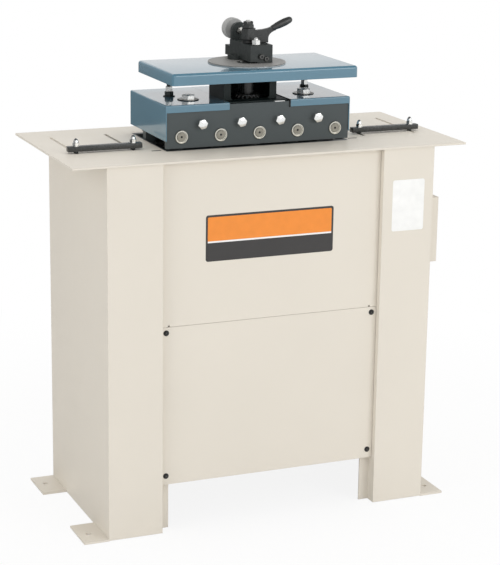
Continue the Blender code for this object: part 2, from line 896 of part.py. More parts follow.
# Roll head
def lower_frame():
    """A rectangular bed that hangs through the table's opening on two side flanges."""
    front = head_front - bed_proud + GAP
    left, right, rear = head_left - GAP, head_right + GAP, head_rear - GAP
    edge = rectangle(left, right, front, rear)
    inner = rectangle(left + bed_wall, right - bed_wall, front + bed_front_wall, rear - bed_front_wall)
    made = add("lower_frame", flat([edge, inner], bed_bottom, table_top - GAP), "dark_paint")
    flange_top = table_under - GAP
    for near, far in ((left - bed_flange, left + bed_wall / 2), (right - bed_wall / 2, right + bed_flange)):
        low = (near, front + bed_wall, flange_top - bed_flange_thickness)
        join(made, box(low, (far, rear - bed_wall, flange_top)))
    centres = [(x, 0, lower_height) for x in station_xs]
    start, end = front - OVERRUN, front + bed_front_wall + OVERRUN
    cut(made, rods(shaft_radius + shaft_clearance, start, end, centres, "Y"))
    tip_radius = (roll_teeth / 2 + addendum_share) * tooth_module
    slot_bottom = lower_height - tip_radius - JOIN
    for near, far in ((left - OVERRUN, left + bed_wall + JOIN), (right - bed_wall - JOIN, right + OVERRUN)):
        low = (near, gear_front - JOIN, slot_bottom)
        cut(made, box(low, (far, gear_front + gear_width + JOIN, lower_height + shaft_radius)))


def front_bearing_plate():
    edge = rectangle(head_left, head_right, plate_bottom, head_top)
    holes = [circle(x, upper_height, bush_radius + GAP, ROUND_SIDES) for x in station_xs]
    holes += [circle(x, idler_height, tie_radius + tie_clearance, STUD_SIDES) for x in idler_xs]
    mesh = flat([edge, *holes], head_front, head_front + front_plate_thickness, "Y")
    add("front_bearing_plate", mesh, "dark_paint")


def rear_bearing_plate():
    left, right = head_left + bed_wall, head_right - bed_wall
    edge = rectangle(left, right, bed_bottom, head_top)
    bore = shaft_radius + shaft_clearance
    holes = [circle(x, z, bore) for x in station_xs for z in (upper_height, lower_height)]
    holes += [circle(x, idler_height, tie_radius + tie_clearance, STUD_SIDES) for x in idler_xs]
    holes.append(circle(head_x, cross_height, cross_radius + cross_clearance))
    add("rear_bearing_plate", flat([edge, *holes], rear_plate_front, rear_plate_rear, "Y"), "dark_paint")


def spindle(name, number, upper, phase):
    """A shaft with its drive roll, forming roll and gear. Upper rolls carry the ridge that
    grows from station to station, and lower rolls the groove that it runs in."""
    x, z = station_xs[number], upper_height if upper else lower_height
    height = form_step * (number + 1) / station_count
    length = form_roll_rear - form_roll_front
    ridge_front = form_roll_front + form_ridge_front_share * length
    ridge_rear = form_roll_front + form_ridge_rear_share * length
    if upper:
        crest = roll_radius + height
    else:
        crest = roll_radius - height
        ridge_front -= form_clearance
        ridge_rear += form_clearance
    drives = number == middle and not upper
    rear_end = pulley_rear + shaft_end_proud if drives else shaft_rear_end
    front_end = head_front - shaft_front_proud
    profile = [
        (0, rear_end),
        (shaft_radius, rear_end),
        (shaft_radius, form_roll_rear),
        (roll_radius, form_roll_rear),
        (roll_radius, ridge_rear + form_flank),
        (crest, ridge_rear),
        (crest, ridge_front),
        (roll_radius, ridge_front - form_flank),
        (roll_radius, form_roll_front),
        (spacer_radius, form_roll_front),
        (spacer_radius, drive_roll_rear),
        (roll_radius, drive_roll_rear),
        (roll_radius, drive_roll_front),
        (shaft_radius, drive_roll_front),
        (shaft_radius, front_end),
        (0, front_end),
    ]
    made = turned(name, profile, (x, 0, z), "Y", "roll_steel")
    join(made, gear(x, z, roll_teeth, phase))


def idler_gear(name, number, phase):
    x = idler_xs[number]
    mesh = gear(x, idler_height, idler_teeth, phase, tie_radius + tie_clearance)
    add(name, mesh, "machined_steel", (x, 0, idler_height))


def gear_train():
    """All the spindles and idlers, each turned so that its teeth meet its neighbours'."""
    quarter = math.pi / 2
    rise = math.atan2(idler_height - upper_height, station_pitch / 2)
    phase = quarter
    for k in range(station_count):
        spindle(f"upper_spindle_{k + 1}", k, True, phase)
        low_phase = mesh_phase(phase, roll_teeth, -quarter, roll_teeth)
        spindle(f"lower_spindle_{k + 1}", k, False, low_phase)
        if k == middle:
            cross_shaft(mesh_phase(phase, roll_teeth, quarter, flange_teeth))
        if k < len(idler_xs):
            idler_phase = mesh_phase(phase, roll_teeth, rise, idler_teeth)
            idler_gear(f"idler_gear_{k + 1}", k, idler_phase)
            phase = mesh_phase(idler_phase, idler_teeth, -rise, roll_teeth)


def cross_shaft(phase):
    """The flanger's short drive shaft: a spur gear behind, and a bevel pinion in front."""
    shaft_front = flange_y + pinion_back - JOIN
    made = turned(
        "flanger_cross_shaft",
        [
            (0, shaft_rear_end),
            (cross_radius, shaft_rear_end),
            (cross_radius, shaft_front),
            (0, shaft_front),
        ],
        (head_x, 0, cross_height),
        "Y",
        "machined_steel",
    )
    join(made, gear(head_x, cross_height, flange_teeth, phase))
    half_tooth = math.pi / pinion_teeth
    pinion = bevel_gear(pinion_teeth, crown_teeth, -math.pi / 2 + half_tooth, pinion_back)
    place = Matrix.Translation((head_x, flange_y, cross_height)) @ AXES["Y"]
    bmesh.ops.transform(pinion, matrix=place, verts=pinion.verts)
    join(made, to_mesh(pinion))


def flanger_spindle():
    """The upright spindle: crown gear, hub under the bracket's top, and the flanging roll."""
    hub_top = bracket_top - bracket_top_plate - GAP
    roll_bottom = bracket_top + flange_roll_clearance
    roll_top = disc_top - GAP
    hub_bottom = crown_bottom + spindle_hub_rise
    profile = [
        (0, roll_top),
        (flange_roll_radius, roll_top),
        (flange_roll_radius, roll_bottom),
        (spindle_radius, roll_bottom),
        (spindle_radius, hub_top),
        (spindle_hub_radius, hub_top),
        (spindle_hub_radius, hub_bottom),
        (spindle_radius, hub_bottom),
        (spindle_radius, crown_bottom - JOIN),
        (0, crown_bottom - JOIN),
    ]
    made = turned("flanger_spindle", profile, (head_x, flange_y, 0), "Z", "machined_steel", ROUND_SIDES)
    crown = bevel_gear(crown_teeth, pinion_teeth, math.pi / 2, crown_back)
    place = Matrix.Translation((head_x, flange_y, cross_height))
    bmesh.ops.transform(crown, matrix=place, verts=crown.verts)
    join(made, to_mesh(crown))


def bushing(name, x):
    front = head_front - bush_proud
    mesh = flat(
        [
            circle(x, upper_height, bush_radius, ROUND_SIDES),
            circle(x, upper_height, shaft_radius + shaft_clearance, SMALL_SIDES),
        ],
        front,
        front + bush_depth,
        "Y",
    )
    add(name, mesh, "bright_steel", (x, 0, upper_height))


def tie_bolt(name, x):
    """A long hex bolt that holds the two plates apart and carries an idler behind."""
    head_face = head_front - GAP
    shoulder = rear_plate_rear + GAP
    nut = gear_front + gear_width + GAP
    centre = (x, 0, idler_height)
    made = add(
        name,
        rod(tie_radius, head_face - JOIN, nut + JOIN, centre, "Y", STUD_SIDES),
        "bright_steel",
        centre,
    )
    join(
        made,
        hex_head(tie_head_radius, head_face - tie_head_length, head_face, centre, "Y", "low"),
        rod(tie_shoulder_radius, shoulder, gear_front - GAP, centre, "Y", STUD_SIDES),
        rod(tie_nut_radius, nut, nut + tie_nut_length, centre, "Y", HEX_SIDES),
    )


def cover(name, low_x, high_x, outer_side):
    """A folded cover: top, outer end wall, rear wall, and a short lip at the front."""
    inner_side = "-" if outer_side > 0 else "+"
    front = head_front - GAP - cover_sheet
    made = shell(
        name,
        (low_x, front, cover_skirt_bottom),
        (high_x, head_rear, cover_top),
        {"-Z", inner_side + "X"},
        cover_sheet,
        "blue_paint",
        bend=cover_bend,
    )
    wall = cover_sheet + GAP
    left = low_x - OVERRUN if outer_side > 0 else low_x + wall
    right = high_x - wall if outer_side > 0 else high_x + OVERRUN
    under = cover_skirt_bottom - OVERRUN
    cut(made, box((left, front - OVERRUN, under), (right, head_front + OVERRUN, cover_lip_bottom)))
    nut_x = left_nut_x if outer_side < 0 else right_nut_x
    hole = (nut_x, cover_nut_y, 0)
    cut(made, rod(tie_radius + GAP, cover_top - OVERRUN, cover_top + OVERRUN, hole, sides=SMALL_SIDES))


def cover_nut(name, x):
    """A hex nut on a wide thin washer, on a screw that passes down through the cover."""
    screw_bottom = idler_height + tie_radius + GAP
    centre = (x, cover_nut_y, 0)
    seat = cover_top + GAP
    top = seat + cover_washer_height
    washer = rod(cover_washer_radius, seat, top, centre)
    made = add(name, washer, "bright_steel", (x, cover_nut_y, seat))
    join(
        made,
        hex_head(cover_nut_radius, top - JOIN, top + cover_nut_height, centre),
        rod(tie_radius - GAP, screw_bottom, top, centre, sides=STUD_SIDES),
    )


def tray_stud(name, x):
    """A stud with two nuts and a flanged foot, between a cover and the tray."""
    seat = cover_top + GAP
    low_seat = seat + stud_foot_height
    high_seat = low_seat + stud_low_nut_height
    high_end = high_seat + stud_high_nut_height
    centre = (x, stud_y, 0)
    made = add(name, rod(stud_foot_radius, seat, low_seat, centre), "black_oxide", (x, stud_y, seat))
    join(
        made,
        rod(stud_low_nut_radius, low_seat - JOIN, high_seat, centre, sides=HEX_SIDES),
        rod(stud_high_nut_radius, high_seat - JOIN, high_end, centre, sides=HEX_SIDES),
        rod(tray_stud_radius, low_seat, tray_under - GAP, centre, sides=STUD_SIDES),
    )


# Flanging attachment
def window_outline():
    """The bracket's window, with its lower corners rounded, as (x, z) points."""
    arc_steps = 4
    left, right = bracket_left + bracket_post, bracket_right - bracket_post
    low, high = base_bottom + bracket_sill, bracket_top - bracket_top_plate - JOIN
    corner = bracket_window_corner
    points = [(right, high), (left, high)]
    for x, turn in ((left + corner, math.pi), (right - corner, 3 * math.pi / 2)):
        for k in range(arc_steps + 1):
            angle = turn + math.pi / 2 * k / arc_steps
            points.append((x + corner * math.cos(angle), low + corner + corner * math.sin(angle)))
    return points


def flanger_bracket():
    """A sheet housing on a base plate that closes the head between its two covers."""
    left = cover_opening_x - cover_opening / 2 + GAP
    right = cover_opening_x + cover_opening / 2 - GAP
    base = box((left, head_front + base_setback, base_bottom), (right, head_rear, base_top))
    made = add("flanger_bracket", base, "black_oxide")
    join(
        made,
        box(
            (left + GAP, head_rear - cover_sheet - GAP, cover_skirt_bottom),
            (right - GAP, head_rear - GAP, base_top - GAP),
        ),
        box((bracket_left, bracket_front, base_bottom + JOIN), (bracket_right, bracket_rear, bracket_top)),
    )
    inside = bracket_sheet
    cut(
        made,
        box(
            (bracket_left + inside, bracket_front + inside, base_bottom - OVERRUN),
            (bracket_right - inside, bracket_rear - inside, bracket_top - bracket_top_plate),
        ),
        flat([window_outline()], bracket_front - OVERRUN, bracket_front + OVERRUN, "Y"),
        rod(
            spindle_radius + spindle_clearance,
            bracket_top - bracket_top_plate - OVERRUN,
            bracket_top + OVERRUN,
            (head_x, flange_y, 0),
            sides=ROUND_SIDES,
        ),
    )


def tray():
    made = shell(
        "tray",
        (tray_left, tray_front, tray_top - tray_lip),
        (tray_right, tray_rear, tray_top),
        {"-Z"},
        tray_sheet,
        "blue_paint",
        bend=tray_edge,
        corner=tray_corner,
    )
    radius = flange_roll_radius + tray_hole_clearance
    hole = (head_x, flange_y, 0)
    cut(made, rod(radius, tray_under - OVERRUN, tray_top + OVERRUN, hole, sides=ROUND_SIDES))


def tray_disc():
    outlines = [
        circle(disc_x, disc_y, disc_radius, FINE_SIDES),
        circle(head_x, flange_y, flange_roll_radius + flange_roll_clearance, ROUND_SIDES),
    ]
    add("tray_disc", flat(outlines, disc_bottom, disc_top), "machined_steel")


def ear_outline():
    """The ear's upright sides and round top, as (x, z) points."""
    arc_steps = 10
    base = block_top - ear_root
    points = [(axle_x + ear_radius, base), (axle_x + ear_radius, axle_height)]
    for k in range(1, arc_steps + 1):
        angle = math.pi * k / arc_steps
        points.append((axle_x + ear_radius * math.cos(angle), axle_height + ear_radius * math.sin(angle)))
    points.append((axle_x - ear_radius, base))
    return points


def flanger_block():
    made = add(
        "flanger_block",
        box((block_left, block_front, block_bottom), (block_right, block_rear, block_top)),
        "black_oxide",
    )
    lug_low = Vector((block_left + JOIN, block_rear - JOIN, block_bottom + lug_rise))
    lug_size = Vector((lug_width, lug_length + JOIN, lug_height))
    join(
        made,
        flat([ear_outline()], block_rear - ear_thickness, block_rear - JOIN, "Y"),
        box(lug_low, lug_low + lug_size),
    )
    acorn_bore = acorn_stud_radius + acorn_clearance
    clamp_bore = clamp_stud_radius + GAP
    axle_bore = axle_radius + GAP
    rabbet_left, rabbet_front = block_left - OVERRUN, block_front - OVERRUN
    bore_low, bore_high = block_top - stud_bore_depth, block_top + OVERRUN
    cut(
        made,
        box(
            (rabbet_left, rabbet_front, block_bottom - OVERRUN),
            (block_left + block_rabbet_width, block_rear + OVERRUN, block_bottom + block_rabbet_height),
        ),
        rod(clamp_bore, bore_low, bore_high, (clamp_x, clamp_y, 0), sides=SMALL_SIDES),
        rod(acorn_bore, bore_low, bore_high, (acorn_x, acorn_y, 0), sides=SMALL_SIDES),
        rod(
            axle_bore,
            block_rear - ear_thickness - OVERRUN,
            block_rear + OVERRUN,
            (axle_x, 0, axle_height),
            "Y",
            SMALL_SIDES,
        ),
    )
    # A round shoe stands on the disc beside the block
    shoe = (block_left - shoe_proud + shoe_radius, block_front + shoe_inset, 0)
    join(made, rod(shoe_radius, block_bottom, block_bottom + shoe_height, shoe))


def lever_outline():
    """The lever's upright web, as (x, z) points from its foot out to the handle's root and back
    over the top. The shares are of the lever's reach and of the web's height."""
    foot = block_top + GAP
    height = clamp_boss_top - foot
    outline_shares = [
        (0, 0),
        (0.72, 0),
        (0.72, 0.3),
        (0.735, 0.44),
        (0.775, 0.56),
        (0.84, 0.67),
        (0.92, 0.75),
        (1, 0.81),
        (0.94, 1.14),
        (0.83, 1.03),
        (0.7, 0.95),
        (0.52, 0.89),
        (0.25, 0.86),
        (0, 0.86),
    ]
    return [(clamp_x + u * lever_reach, foot + v * height) for u, v in outline_shares]


def clamp_lever():
    """A lever that turns on the clamp stud: boss, upright web and raised handle."""
    root = Vector((clamp_x + grip_root_share * lever_reach, clamp_y, clamp_boss_top - grip_root_drop))
    tip = root + Vector((grip_reach, 0, grip_rise))
    centre = (clamp_x, clamp_y, 0)
    foot = block_top + GAP
    made = add(
        "clamp_lever",
        rod(clamp_boss_radius, clamp_boss_bottom, clamp_boss_top, centre),
        "black_oxide",
        (clamp_x, clamp_y, block_top),
    )
    length = (tip - root).length
    grip = rod(grip_root_radius, 0, length, (0, 0, 0), sides=SMALL_SIDES, end_radius=grip_radius)
    turn = Vector((0, 0, 1)).rotation_difference(tip - root).to_matrix().to_4x4()
    grip.transform(Matrix.Translation(root) @ turn)
    join(
        made,
        rod(clamp_neck_radius, foot, clamp_boss_bottom + JOIN, centre),
        flat([lever_outline()], clamp_y - lever_half, clamp_y + lever_half, "Y"),
        grip,
    )
    ball = bmesh.new()
    ball_radius = grip_radius + GAP
    bmesh.ops.create_uvsphere(ball, u_segments=SMALL_SIDES, v_segments=HEX_SIDES, radius=ball_radius)
    bmesh.ops.transform(ball, matrix=Matrix.Translation(tip) @ turn, verts=ball.verts)
    join(made, to_mesh(ball))
    bore = rod(clamp_stud_radius + GAP, foot - OVERRUN, clamp_boss_top + OVERRUN, centre, sides=SMALL_SIDES)
    cut(made, bore)


def clamp_nut():
    """A castellated nut on the stud that stands in the block."""
    seat = clamp_boss_top + GAP
    shoulder = seat + clamp_nut_height
    top = shoulder + clamp_crown_height
    floor = top - clamp_slot_depth
    centre = (clamp_x, clamp_y, 0)
    made = add(
        "clamp_nut",
        rod(clamp_nut_radius, seat, shoulder, centre, sides=HEX_SIDES),
        "black_oxide",
        (clamp_x, clamp_y, seat),
    )
    join(made, rod(clamp_crown_radius, shoulder - JOIN, top, centre, sides=SMALL_SIDES))
    reach = clamp_crown_radius + OVERRUN
    slot_count = HEX_SIDES // 2
    for k in range(slot_count):
        slot = box((-reach, -clamp_slot_half, floor), (reach, clamp_slot_half, top + OVERRUN))
        turn = Matrix.Rotation(math.pi * k / slot_count, 4, "Z")
        slot.transform(Matrix.Translation(centre) @ turn)
        cut(made, slot)
    stud_end = top + clamp_stud_proud
    join(made, rod(clamp_stud_radius, block_top - clamp_stud_depth, stud_end, centre, sides=STUD_SIDES))


def acorn_nut():
    """A domed nut on a short stud in the block."""
    seat = block_top + GAP
    centre = (acorn_x, acorn_y, 0)
    made = add(
        "acorn_nut",
        rod(acorn_radius, seat, seat + acorn_height, centre, sides=HEX_SIDES),
        "bright_steel",
        (acorn_x, acorn_y, seat),
    )
    dome = bmesh.new()
    radius = acorn_dome_radius
    bmesh.ops.create_uvsphere(dome, u_segments=SMALL_SIDES, v_segments=HEX_SIDES, radius=radius)
    top = Matrix.Translation((acorn_x, acorn_y, seat + acorn_height))
    bmesh.ops.transform(dome, matrix=top, verts=dome.verts)
    stud_low = block_top - acorn_stud_depth
    stud = rod(acorn_stud_radius, stud_low, seat + JOIN, centre, sides=STUD_SIDES)
    join(made, to_mesh(dome), stud)


def adjusting_wheel():
    """The knurled wheel behind the ear, on an axle with a nut in front."""
    front_end = block_rear - ear_thickness - GAP
    rear = wheel_front + wheel_width
    profile = [
        (0, rear),
        (wheel_radius - wheel_chamfer, rear),
        (wheel_radius, rear - wheel_chamfer),
        (wheel_radius, wheel_front + wheel_chamfer),
        (wheel_radius - wheel_chamfer, wheel_front),
        (wheel_hub_radius, wheel_front),
        (wheel_hub_radius, block_rear + GAP),
        (axle_radius, block_rear + GAP),
        (axle_radius, front_end - JOIN),
        (0, front_end - JOIN),
    ]
    centre = (axle_x, 0, axle_height)
    made = turned("adjusting_wheel", profile, centre, "Y", "grey_knob", ROUND_SIDES)
    join(made, rod(axle_nut_radius, front_end - axle_nut_length, front_end, centre, "Y", HEX_SIDES))


# Switch on the right leg
def switch_box():
    left = leg_outer + GAP
    right = leg_outer + switch_depth
    rear = switch_front + switch_width
    top = switch_bottom + switch_height
    made = add(
        "switch_box",
        box((left, switch_front, switch_bottom), (right, rear, top)),
        "cream_paint",
    )
    y = switch_front + switch_width / 2
    low, high = right - button_well, right + OVERRUN
    for z, radius in zip(button_heights(), (start_radius, stop_stem_radius)):
        cut(made, rod(radius + button_clearance, low, high, (0, y, z), "X", SMALL_SIDES))


def button_heights():
    """The start button's height and the stop button's."""
    start_share, stop_share = 0.7, 0.32
    return switch_bottom + start_share * switch_height, switch_bottom + stop_share * switch_height


def buttons():
    y = switch_front + switch_width / 2
    face = leg_outer + switch_depth
    start_z, stop_z = button_heights()
    back = face - button_well + button_travel_room
    add(
        "start_button",
        rod(start_radius, back, face + start_proud, (0, y, start_z), "X"),
        "green_button",
        (face, y, start_z),
    )
    stop = add(
        "stop_button",
        rod(stop_radius, face + stop_proud - stop_head_thickness, face + stop_proud, (0, y, stop_z), "X"),
        "red_button",
        (face, y, stop_z),
    )
    stem = rod(stop_stem_radius, back, face + stop_proud - JOIN, (0, y, stop_z), "X", SMALL_SIDES)
    join(stop, stem)


def cable_gland():
    """A hexagonal gland under the switch, with a round neck whose bore takes the cord."""
    x = leg_outer + switch_depth / 2
    y = switch_front + switch_width / 2
    top = switch_bottom - GAP
    shoulder = top - gland_length
    end = top - gland_neck_length
    centre = (x, y, 0)
    made = add(
        "cable_gland",
        rod(gland_radius, shoulder, top, centre, sides=HEX_SIDES),
        "black_oxide",
        (x, y, top),
    )
    join(made, rod(gland_neck_radius, end, shoulder + JOIN, centre, sides=SMALL_SIDES))
    cut(made, rod(gland_bore_radius, end - OVERRUN, shoulder, centre, sides=STUD_SIDES))


# The whole machine
def build():
    leg("left_leg", -1)
    leg("right_leg", 1)
    table()
    front_panel("upper_front_panel", seam_height + GAP, table_under - GAP, True)
    front_panel("lower_front_panel", panel_bottom, seam_height - GAP, False)
    rear_panel()
    motor_shelf()
    guide_bar("left_guide_bar", left_slots, left_guide_y)
    guide_bar("right_guide_bar", right_slots, right_guide_y)
    gear_motor()
    motor_pulley()
    driven_pulley()
    drive_belt()
    lower_frame()
    front_bearing_plate()
    rear_bearing_plate()
    gear_train()
    flanger_spindle()
    for k, x in enumerate(station_xs):
        bushing(f"bushing_{k + 1}", x)
    for k, x in enumerate(idler_xs):
        tie_bolt(f"tie_bolt_{k + 1}", x)
    half_opening = cover_opening / 2
    skin = cover_sheet + GAP
    cover("left_cover", head_left - skin, cover_opening_x - half_opening, -1)
    cover("right_cover", cover_opening_x + half_opening, head_right + skin, 1)
    cover_nut("left_cover_nut", left_nut_x)
    cover_nut("right_cover_nut", right_nut_x)
    tray_stud("left_tray_stud", left_stud_x)
    tray_stud("right_tray_stud", right_stud_x)
    flanger_bracket()
    tray()
    tray_disc()
    flanger_block()
    clamp_lever()
    clamp_nut()
    acorn_nut()
    adjusting_wheel()
    switch_box()
    buttons()
    cable_gland()


build()
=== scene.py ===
"""The looks of the lock forming machine: finishes for every piece of the frame, and the
fine pieces that the frame leaves out, such as screws, rings, bright nuts and plates.
"""

import math

import bmesh
import bpy
from mathutils import Matrix, Vector

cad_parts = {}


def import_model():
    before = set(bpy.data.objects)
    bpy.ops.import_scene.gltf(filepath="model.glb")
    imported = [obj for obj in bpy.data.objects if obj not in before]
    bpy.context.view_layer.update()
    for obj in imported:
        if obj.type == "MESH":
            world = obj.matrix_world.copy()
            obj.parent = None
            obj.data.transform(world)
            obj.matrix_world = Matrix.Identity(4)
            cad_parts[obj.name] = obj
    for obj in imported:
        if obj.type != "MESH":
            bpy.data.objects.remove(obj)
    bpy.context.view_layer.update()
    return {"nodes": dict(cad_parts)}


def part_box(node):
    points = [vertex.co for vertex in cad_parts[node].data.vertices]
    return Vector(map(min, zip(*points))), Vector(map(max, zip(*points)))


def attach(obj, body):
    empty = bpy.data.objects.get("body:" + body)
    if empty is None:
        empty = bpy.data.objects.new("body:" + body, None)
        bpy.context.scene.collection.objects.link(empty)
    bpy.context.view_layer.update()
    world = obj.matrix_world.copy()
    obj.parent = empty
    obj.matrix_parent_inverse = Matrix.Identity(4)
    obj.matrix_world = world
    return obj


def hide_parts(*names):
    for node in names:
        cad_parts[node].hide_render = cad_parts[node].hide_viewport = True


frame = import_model()
nodes = frame["nodes"]

MM = 0.001
GAP = 0.2 * MM
SINK = 0.4 * MM
MERGE = 0.02 * MM
SHARP = 32
KNURL_SHARP = 20
PAIRS = range(1, 6)
TIE_BOLTS = range(1, 5)
SIDES = ("left", "right")
BOTH_FACES = ("top", "bottom")

# The photograph's camera, in metres and degrees, with its lens and image in pixels
camera_place = Vector((-1.7080, -4.1114, 1.7378))
camera_yaw = -22.527
camera_pitch = -15.112
camera_roll = 0.741
image_width = 500
image_height = 565
focal_length = 1836.53
image_centre_x = 236.578
image_centre_y = 286.372

# Blender's usual sensor in millimetres, and how far the camera sees in metres
sensor_width = 36
view_reach = 100

# Finishes, as linear colours
CREAM = (0.757, 0.706, 0.62)
BLUE = (0.086, 0.2, 0.275)
GRAPHITE = (0.07, 0.083, 0.086)
OXIDE = (0.022, 0.027, 0.026)
BURNISHED = (0.034, 0.036, 0.035)
BLACK_PAINT = (0.005, 0.011, 0.0105)
MOTOR_GREY = (0.12, 0.14, 0.16)
ZINC = (0.86, 0.87, 0.86)
PLATED = (0.92, 0.92, 0.9)
STEEL = (0.42, 0.41, 0.385)
DARK_STEEL = (0.16, 0.155, 0.15)
DISC_STEEL = (0.37, 0.365, 0.35)
SHAFT_STEEL = (0.36, 0.345, 0.3)
RING_BRONZE = (0.62, 0.61, 0.55)
KNOB_GREY = (0.39, 0.39, 0.38)
SOCKET_AND_HIGHLIGHT_GREY = (0.12, 0.12, 0.115)
SCREW_AND_SHADE_BLACK = (0.012, 0.012, 0.012)
RUBBER_AND_SHADE = (0.015, 0.015, 0.015)
BUTTON_GREEN = (0.01, 0.25, 0.06)
BUTTON_RED = (0.5, 0.015, 0.012)
WHITE = (0.9, 0.9, 0.88)
ORANGE = (0.86, 0.27, 0.035)
CHARCOAL = (0.035, 0.033, 0.032)
FLOOR_WHITE = (0.93, 0.93, 0.93)
BACKGROUND_WHITE = (1.0, 1.0, 1.0)

# The studio's plain light, and what reflections show of the studio. A side is a direction. An
# edge is how far along it, from -1 to 1, a screen or the like begins and is full.
AMBIENT = 0.72
SCREEN_SIDE = (-0.92, 0.39, 0)
SCREEN_EDGE = (0.35, 0.6)
SCREEN_DARK = 0.35
BEHIND_EDGE = (0.1, 0.5)
BEHIND_DARK = 0.25
BELOW_EDGE = (-0.22, -0.06)
HORIZON_SHARE = 0.22
WINDOW_SIDE = (0.4, -0.86, 0.31)
WINDOW_EDGE = (0.955, 0.985)
WINDOW_BRIGHT = 2.5
CEILING_EDGE = (0.45, 0.75)
CEILING_DARK = 0.1

# Each lamp's name, place, size and power
LAMPS = (
    ("key_lamp", (2.1, -3.6, 2.1), (2.0, 2.0), 44),
    ("side_lamp", (-3.2, -1.2, 1.8), (1.6, 2.4), 24),
    ("top_lamp", (0.2, 0.4, 3.6), (2.4, 2.0), 20),
)
LAMP_TARGET = (0, 0, 0.7)

# The screws in the block's front, as places along X and Z and how far they stand out
BLOCK_SCREWS = ((30.6 * MM, 1119.7 * MM, 7 * MM), (44.8 * MM, 1113.7 * MM, 3.5 * MM))

# A pan head from its recess outwards, as shares of its radius and height
PAN_HEAD_SHARES = ((0, 0.8), (0.3, 0.8), (0.4, 1), (0.75, 0.9), (1, 0.45), (1, 0.25))

# The range that a noise keeps to, but for rare places
NOISE_RANGE = (0.3, 0.7)

# The turn that brings Z to an axis
AXES = {
    "X": Matrix.Rotation(math.pi / 2, 4, "Y"),
    "Y": Matrix.Rotation(-math.pi / 2, 4, "X"),
    "-Y": Matrix.Rotation(math.pi / 2, 4, "X"),
}


# Materials
def new_material(name):
    made = bpy.data.materials.new(name)
    made.use_nodes = True
    tree = made.node_tree
    return made, tree, tree.nodes["Principled BSDF"]


def new_node(tree, kind, inputs, **settings):
    """Adds a node with its settings. Each input is a value or another node's output."""
    made = tree.nodes.new("ShaderNode" + kind)
    for name, value in settings.items():
        setattr(made, name, value)
    for key, value in inputs.items():
        if isinstance(value, bpy.types.NodeSocket):
            tree.links.new(value, made.inputs[key])
        else:
            made.inputs[key].default_value = value
    return made


def texture_place(tree, stretch=(1, 1, 1)):
    """Metres in the machine's own frame, stretched along an axis for brushed finishes."""
    place = new_node(tree, "TexCoord", {}).outputs["Object"]
    return new_node(tree, "Mapping", {"Scale": stretch, "Vector": place}).outputs["Vector"]


def noise(tree, place, scale, detail=3.0):
    inputs = {"Scale": scale, "Detail": detail, "Vector": place}
    return new_node(tree, "TexNoise", inputs).outputs["Fac"]


def between(tree, value, low, high, at_low, at_high, kind="SMOOTHSTEP"):
    """A value that runs from at_low, where the given one is low, to at_high."""
    inputs = {"Value": value, "From Min": low, "From Max": high}
    inputs |= {"To Min": at_low, "To Max": at_high}
    return new_node(tree, "MapRange", inputs, interpolation_type=kind).outputs["Result"]


def spread(tree, value, low, high):
    """A noise brought into another range."""
    return between(tree, value, *NOISE_RANGE, low, high, "LINEAR")


def shaded_colour(tree, shader, colour, value, low, high):
    """The base colour, made a little darker and lighter from place to place."""
    darker = (*(c * low for c in colour), 1)
    lighter = (*(min(c * high, 1) for c in colour), 1)
    inputs = {"A": darker, "B": lighter, "Factor": value}
    mix = new_node(tree, "Mix", inputs, data_type="RGBA")
    tree.links.new(mix.outputs["Result"], shader.inputs["Base Color"])


def relief(tree, shader, value, depth, strength, edge):
    """A fine bump over edges that catch the light as if rounded."""
    rounded = new_node(tree, "Bevel", {"Radius": edge}, samples=4).outputs["Normal"]
    inputs = {"Distance": depth, "Strength": strength, "Height": value, "Normal": rounded}
    bump = new_node(tree, "Bump", inputs)
    tree.links.new(bump.outputs["Normal"], shader.inputs["Normal"])


def layered(name, colour, mottle, rough, bump, edge):
    """A finish that changes a little from place to place. The mottle is a noise's scale and the
    darkest and lightest share of the colour, the roughness a scale, the least and the most, and
    the bump a scale, a depth and a strength."""
    made, tree, shader = new_material(name)
    place = texture_place(tree)
    scale, darkest, lightest = mottle
    shaded_colour(tree, shader, colour, noise(tree, place, scale), darkest, lightest)
    scale, least, most = rough
    value = spread(tree, noise(tree, place, scale), least, most)
    tree.links.new(value, shader.inputs["Roughness"])
    scale, depth, strength = bump
    relief(tree, shader, noise(tree, place, scale, detail=2), depth, strength, edge)
    return made, shader


def powder_coat(name, colour, roughness, peel=0.25):
    """Baked paint with a fine orange peel."""
    mottle = (4, 0.97, 1.03)
    rough = (30, roughness - 0.04, roughness + 0.04)
    made, shader = layered(name, colour, mottle, rough, (420, 0.06 * MM, peel), 1.2 * MM)
    shader.inputs["Specular IOR Level"].default_value = 0.32
    return made


def gloss_paint(name, colour):
    """Smooth enamel under a clear coat, with a faint ripple."""
    mottle, rough, bump = (3, 0.96, 1.04), (12, 0.18, 0.24), (25, 0.1 * MM, 0.05)
    made, shader = layered(name, colour, mottle, rough, bump, 1.2 * MM)
    shader.inputs["Coat Weight"].default_value = 1
    shader.inputs["Coat Roughness"].default_value = 0.06
    return made


def oxide_finish(name, colour, roughness):
    """Blackened steel with a slight mottle."""
    mottle, bump = (60, 0.8, 1.35), (700, 0.05 * MM, 0.2)
    rough = (90, roughness - 0.06, roughness + 0.08)
    return layered(name, colour, mottle, rough, bump, 1.6 * MM)[0]


def plastic(name, colour, roughness):
    mottle, bump = (50, 0.92, 1.08), (800, 0.03 * MM, 0.1)
    rough = (200, roughness - 0.05, roughness + 0.05)
    return layered(name, colour, mottle, rough, bump, 0.5 * MM)[0]


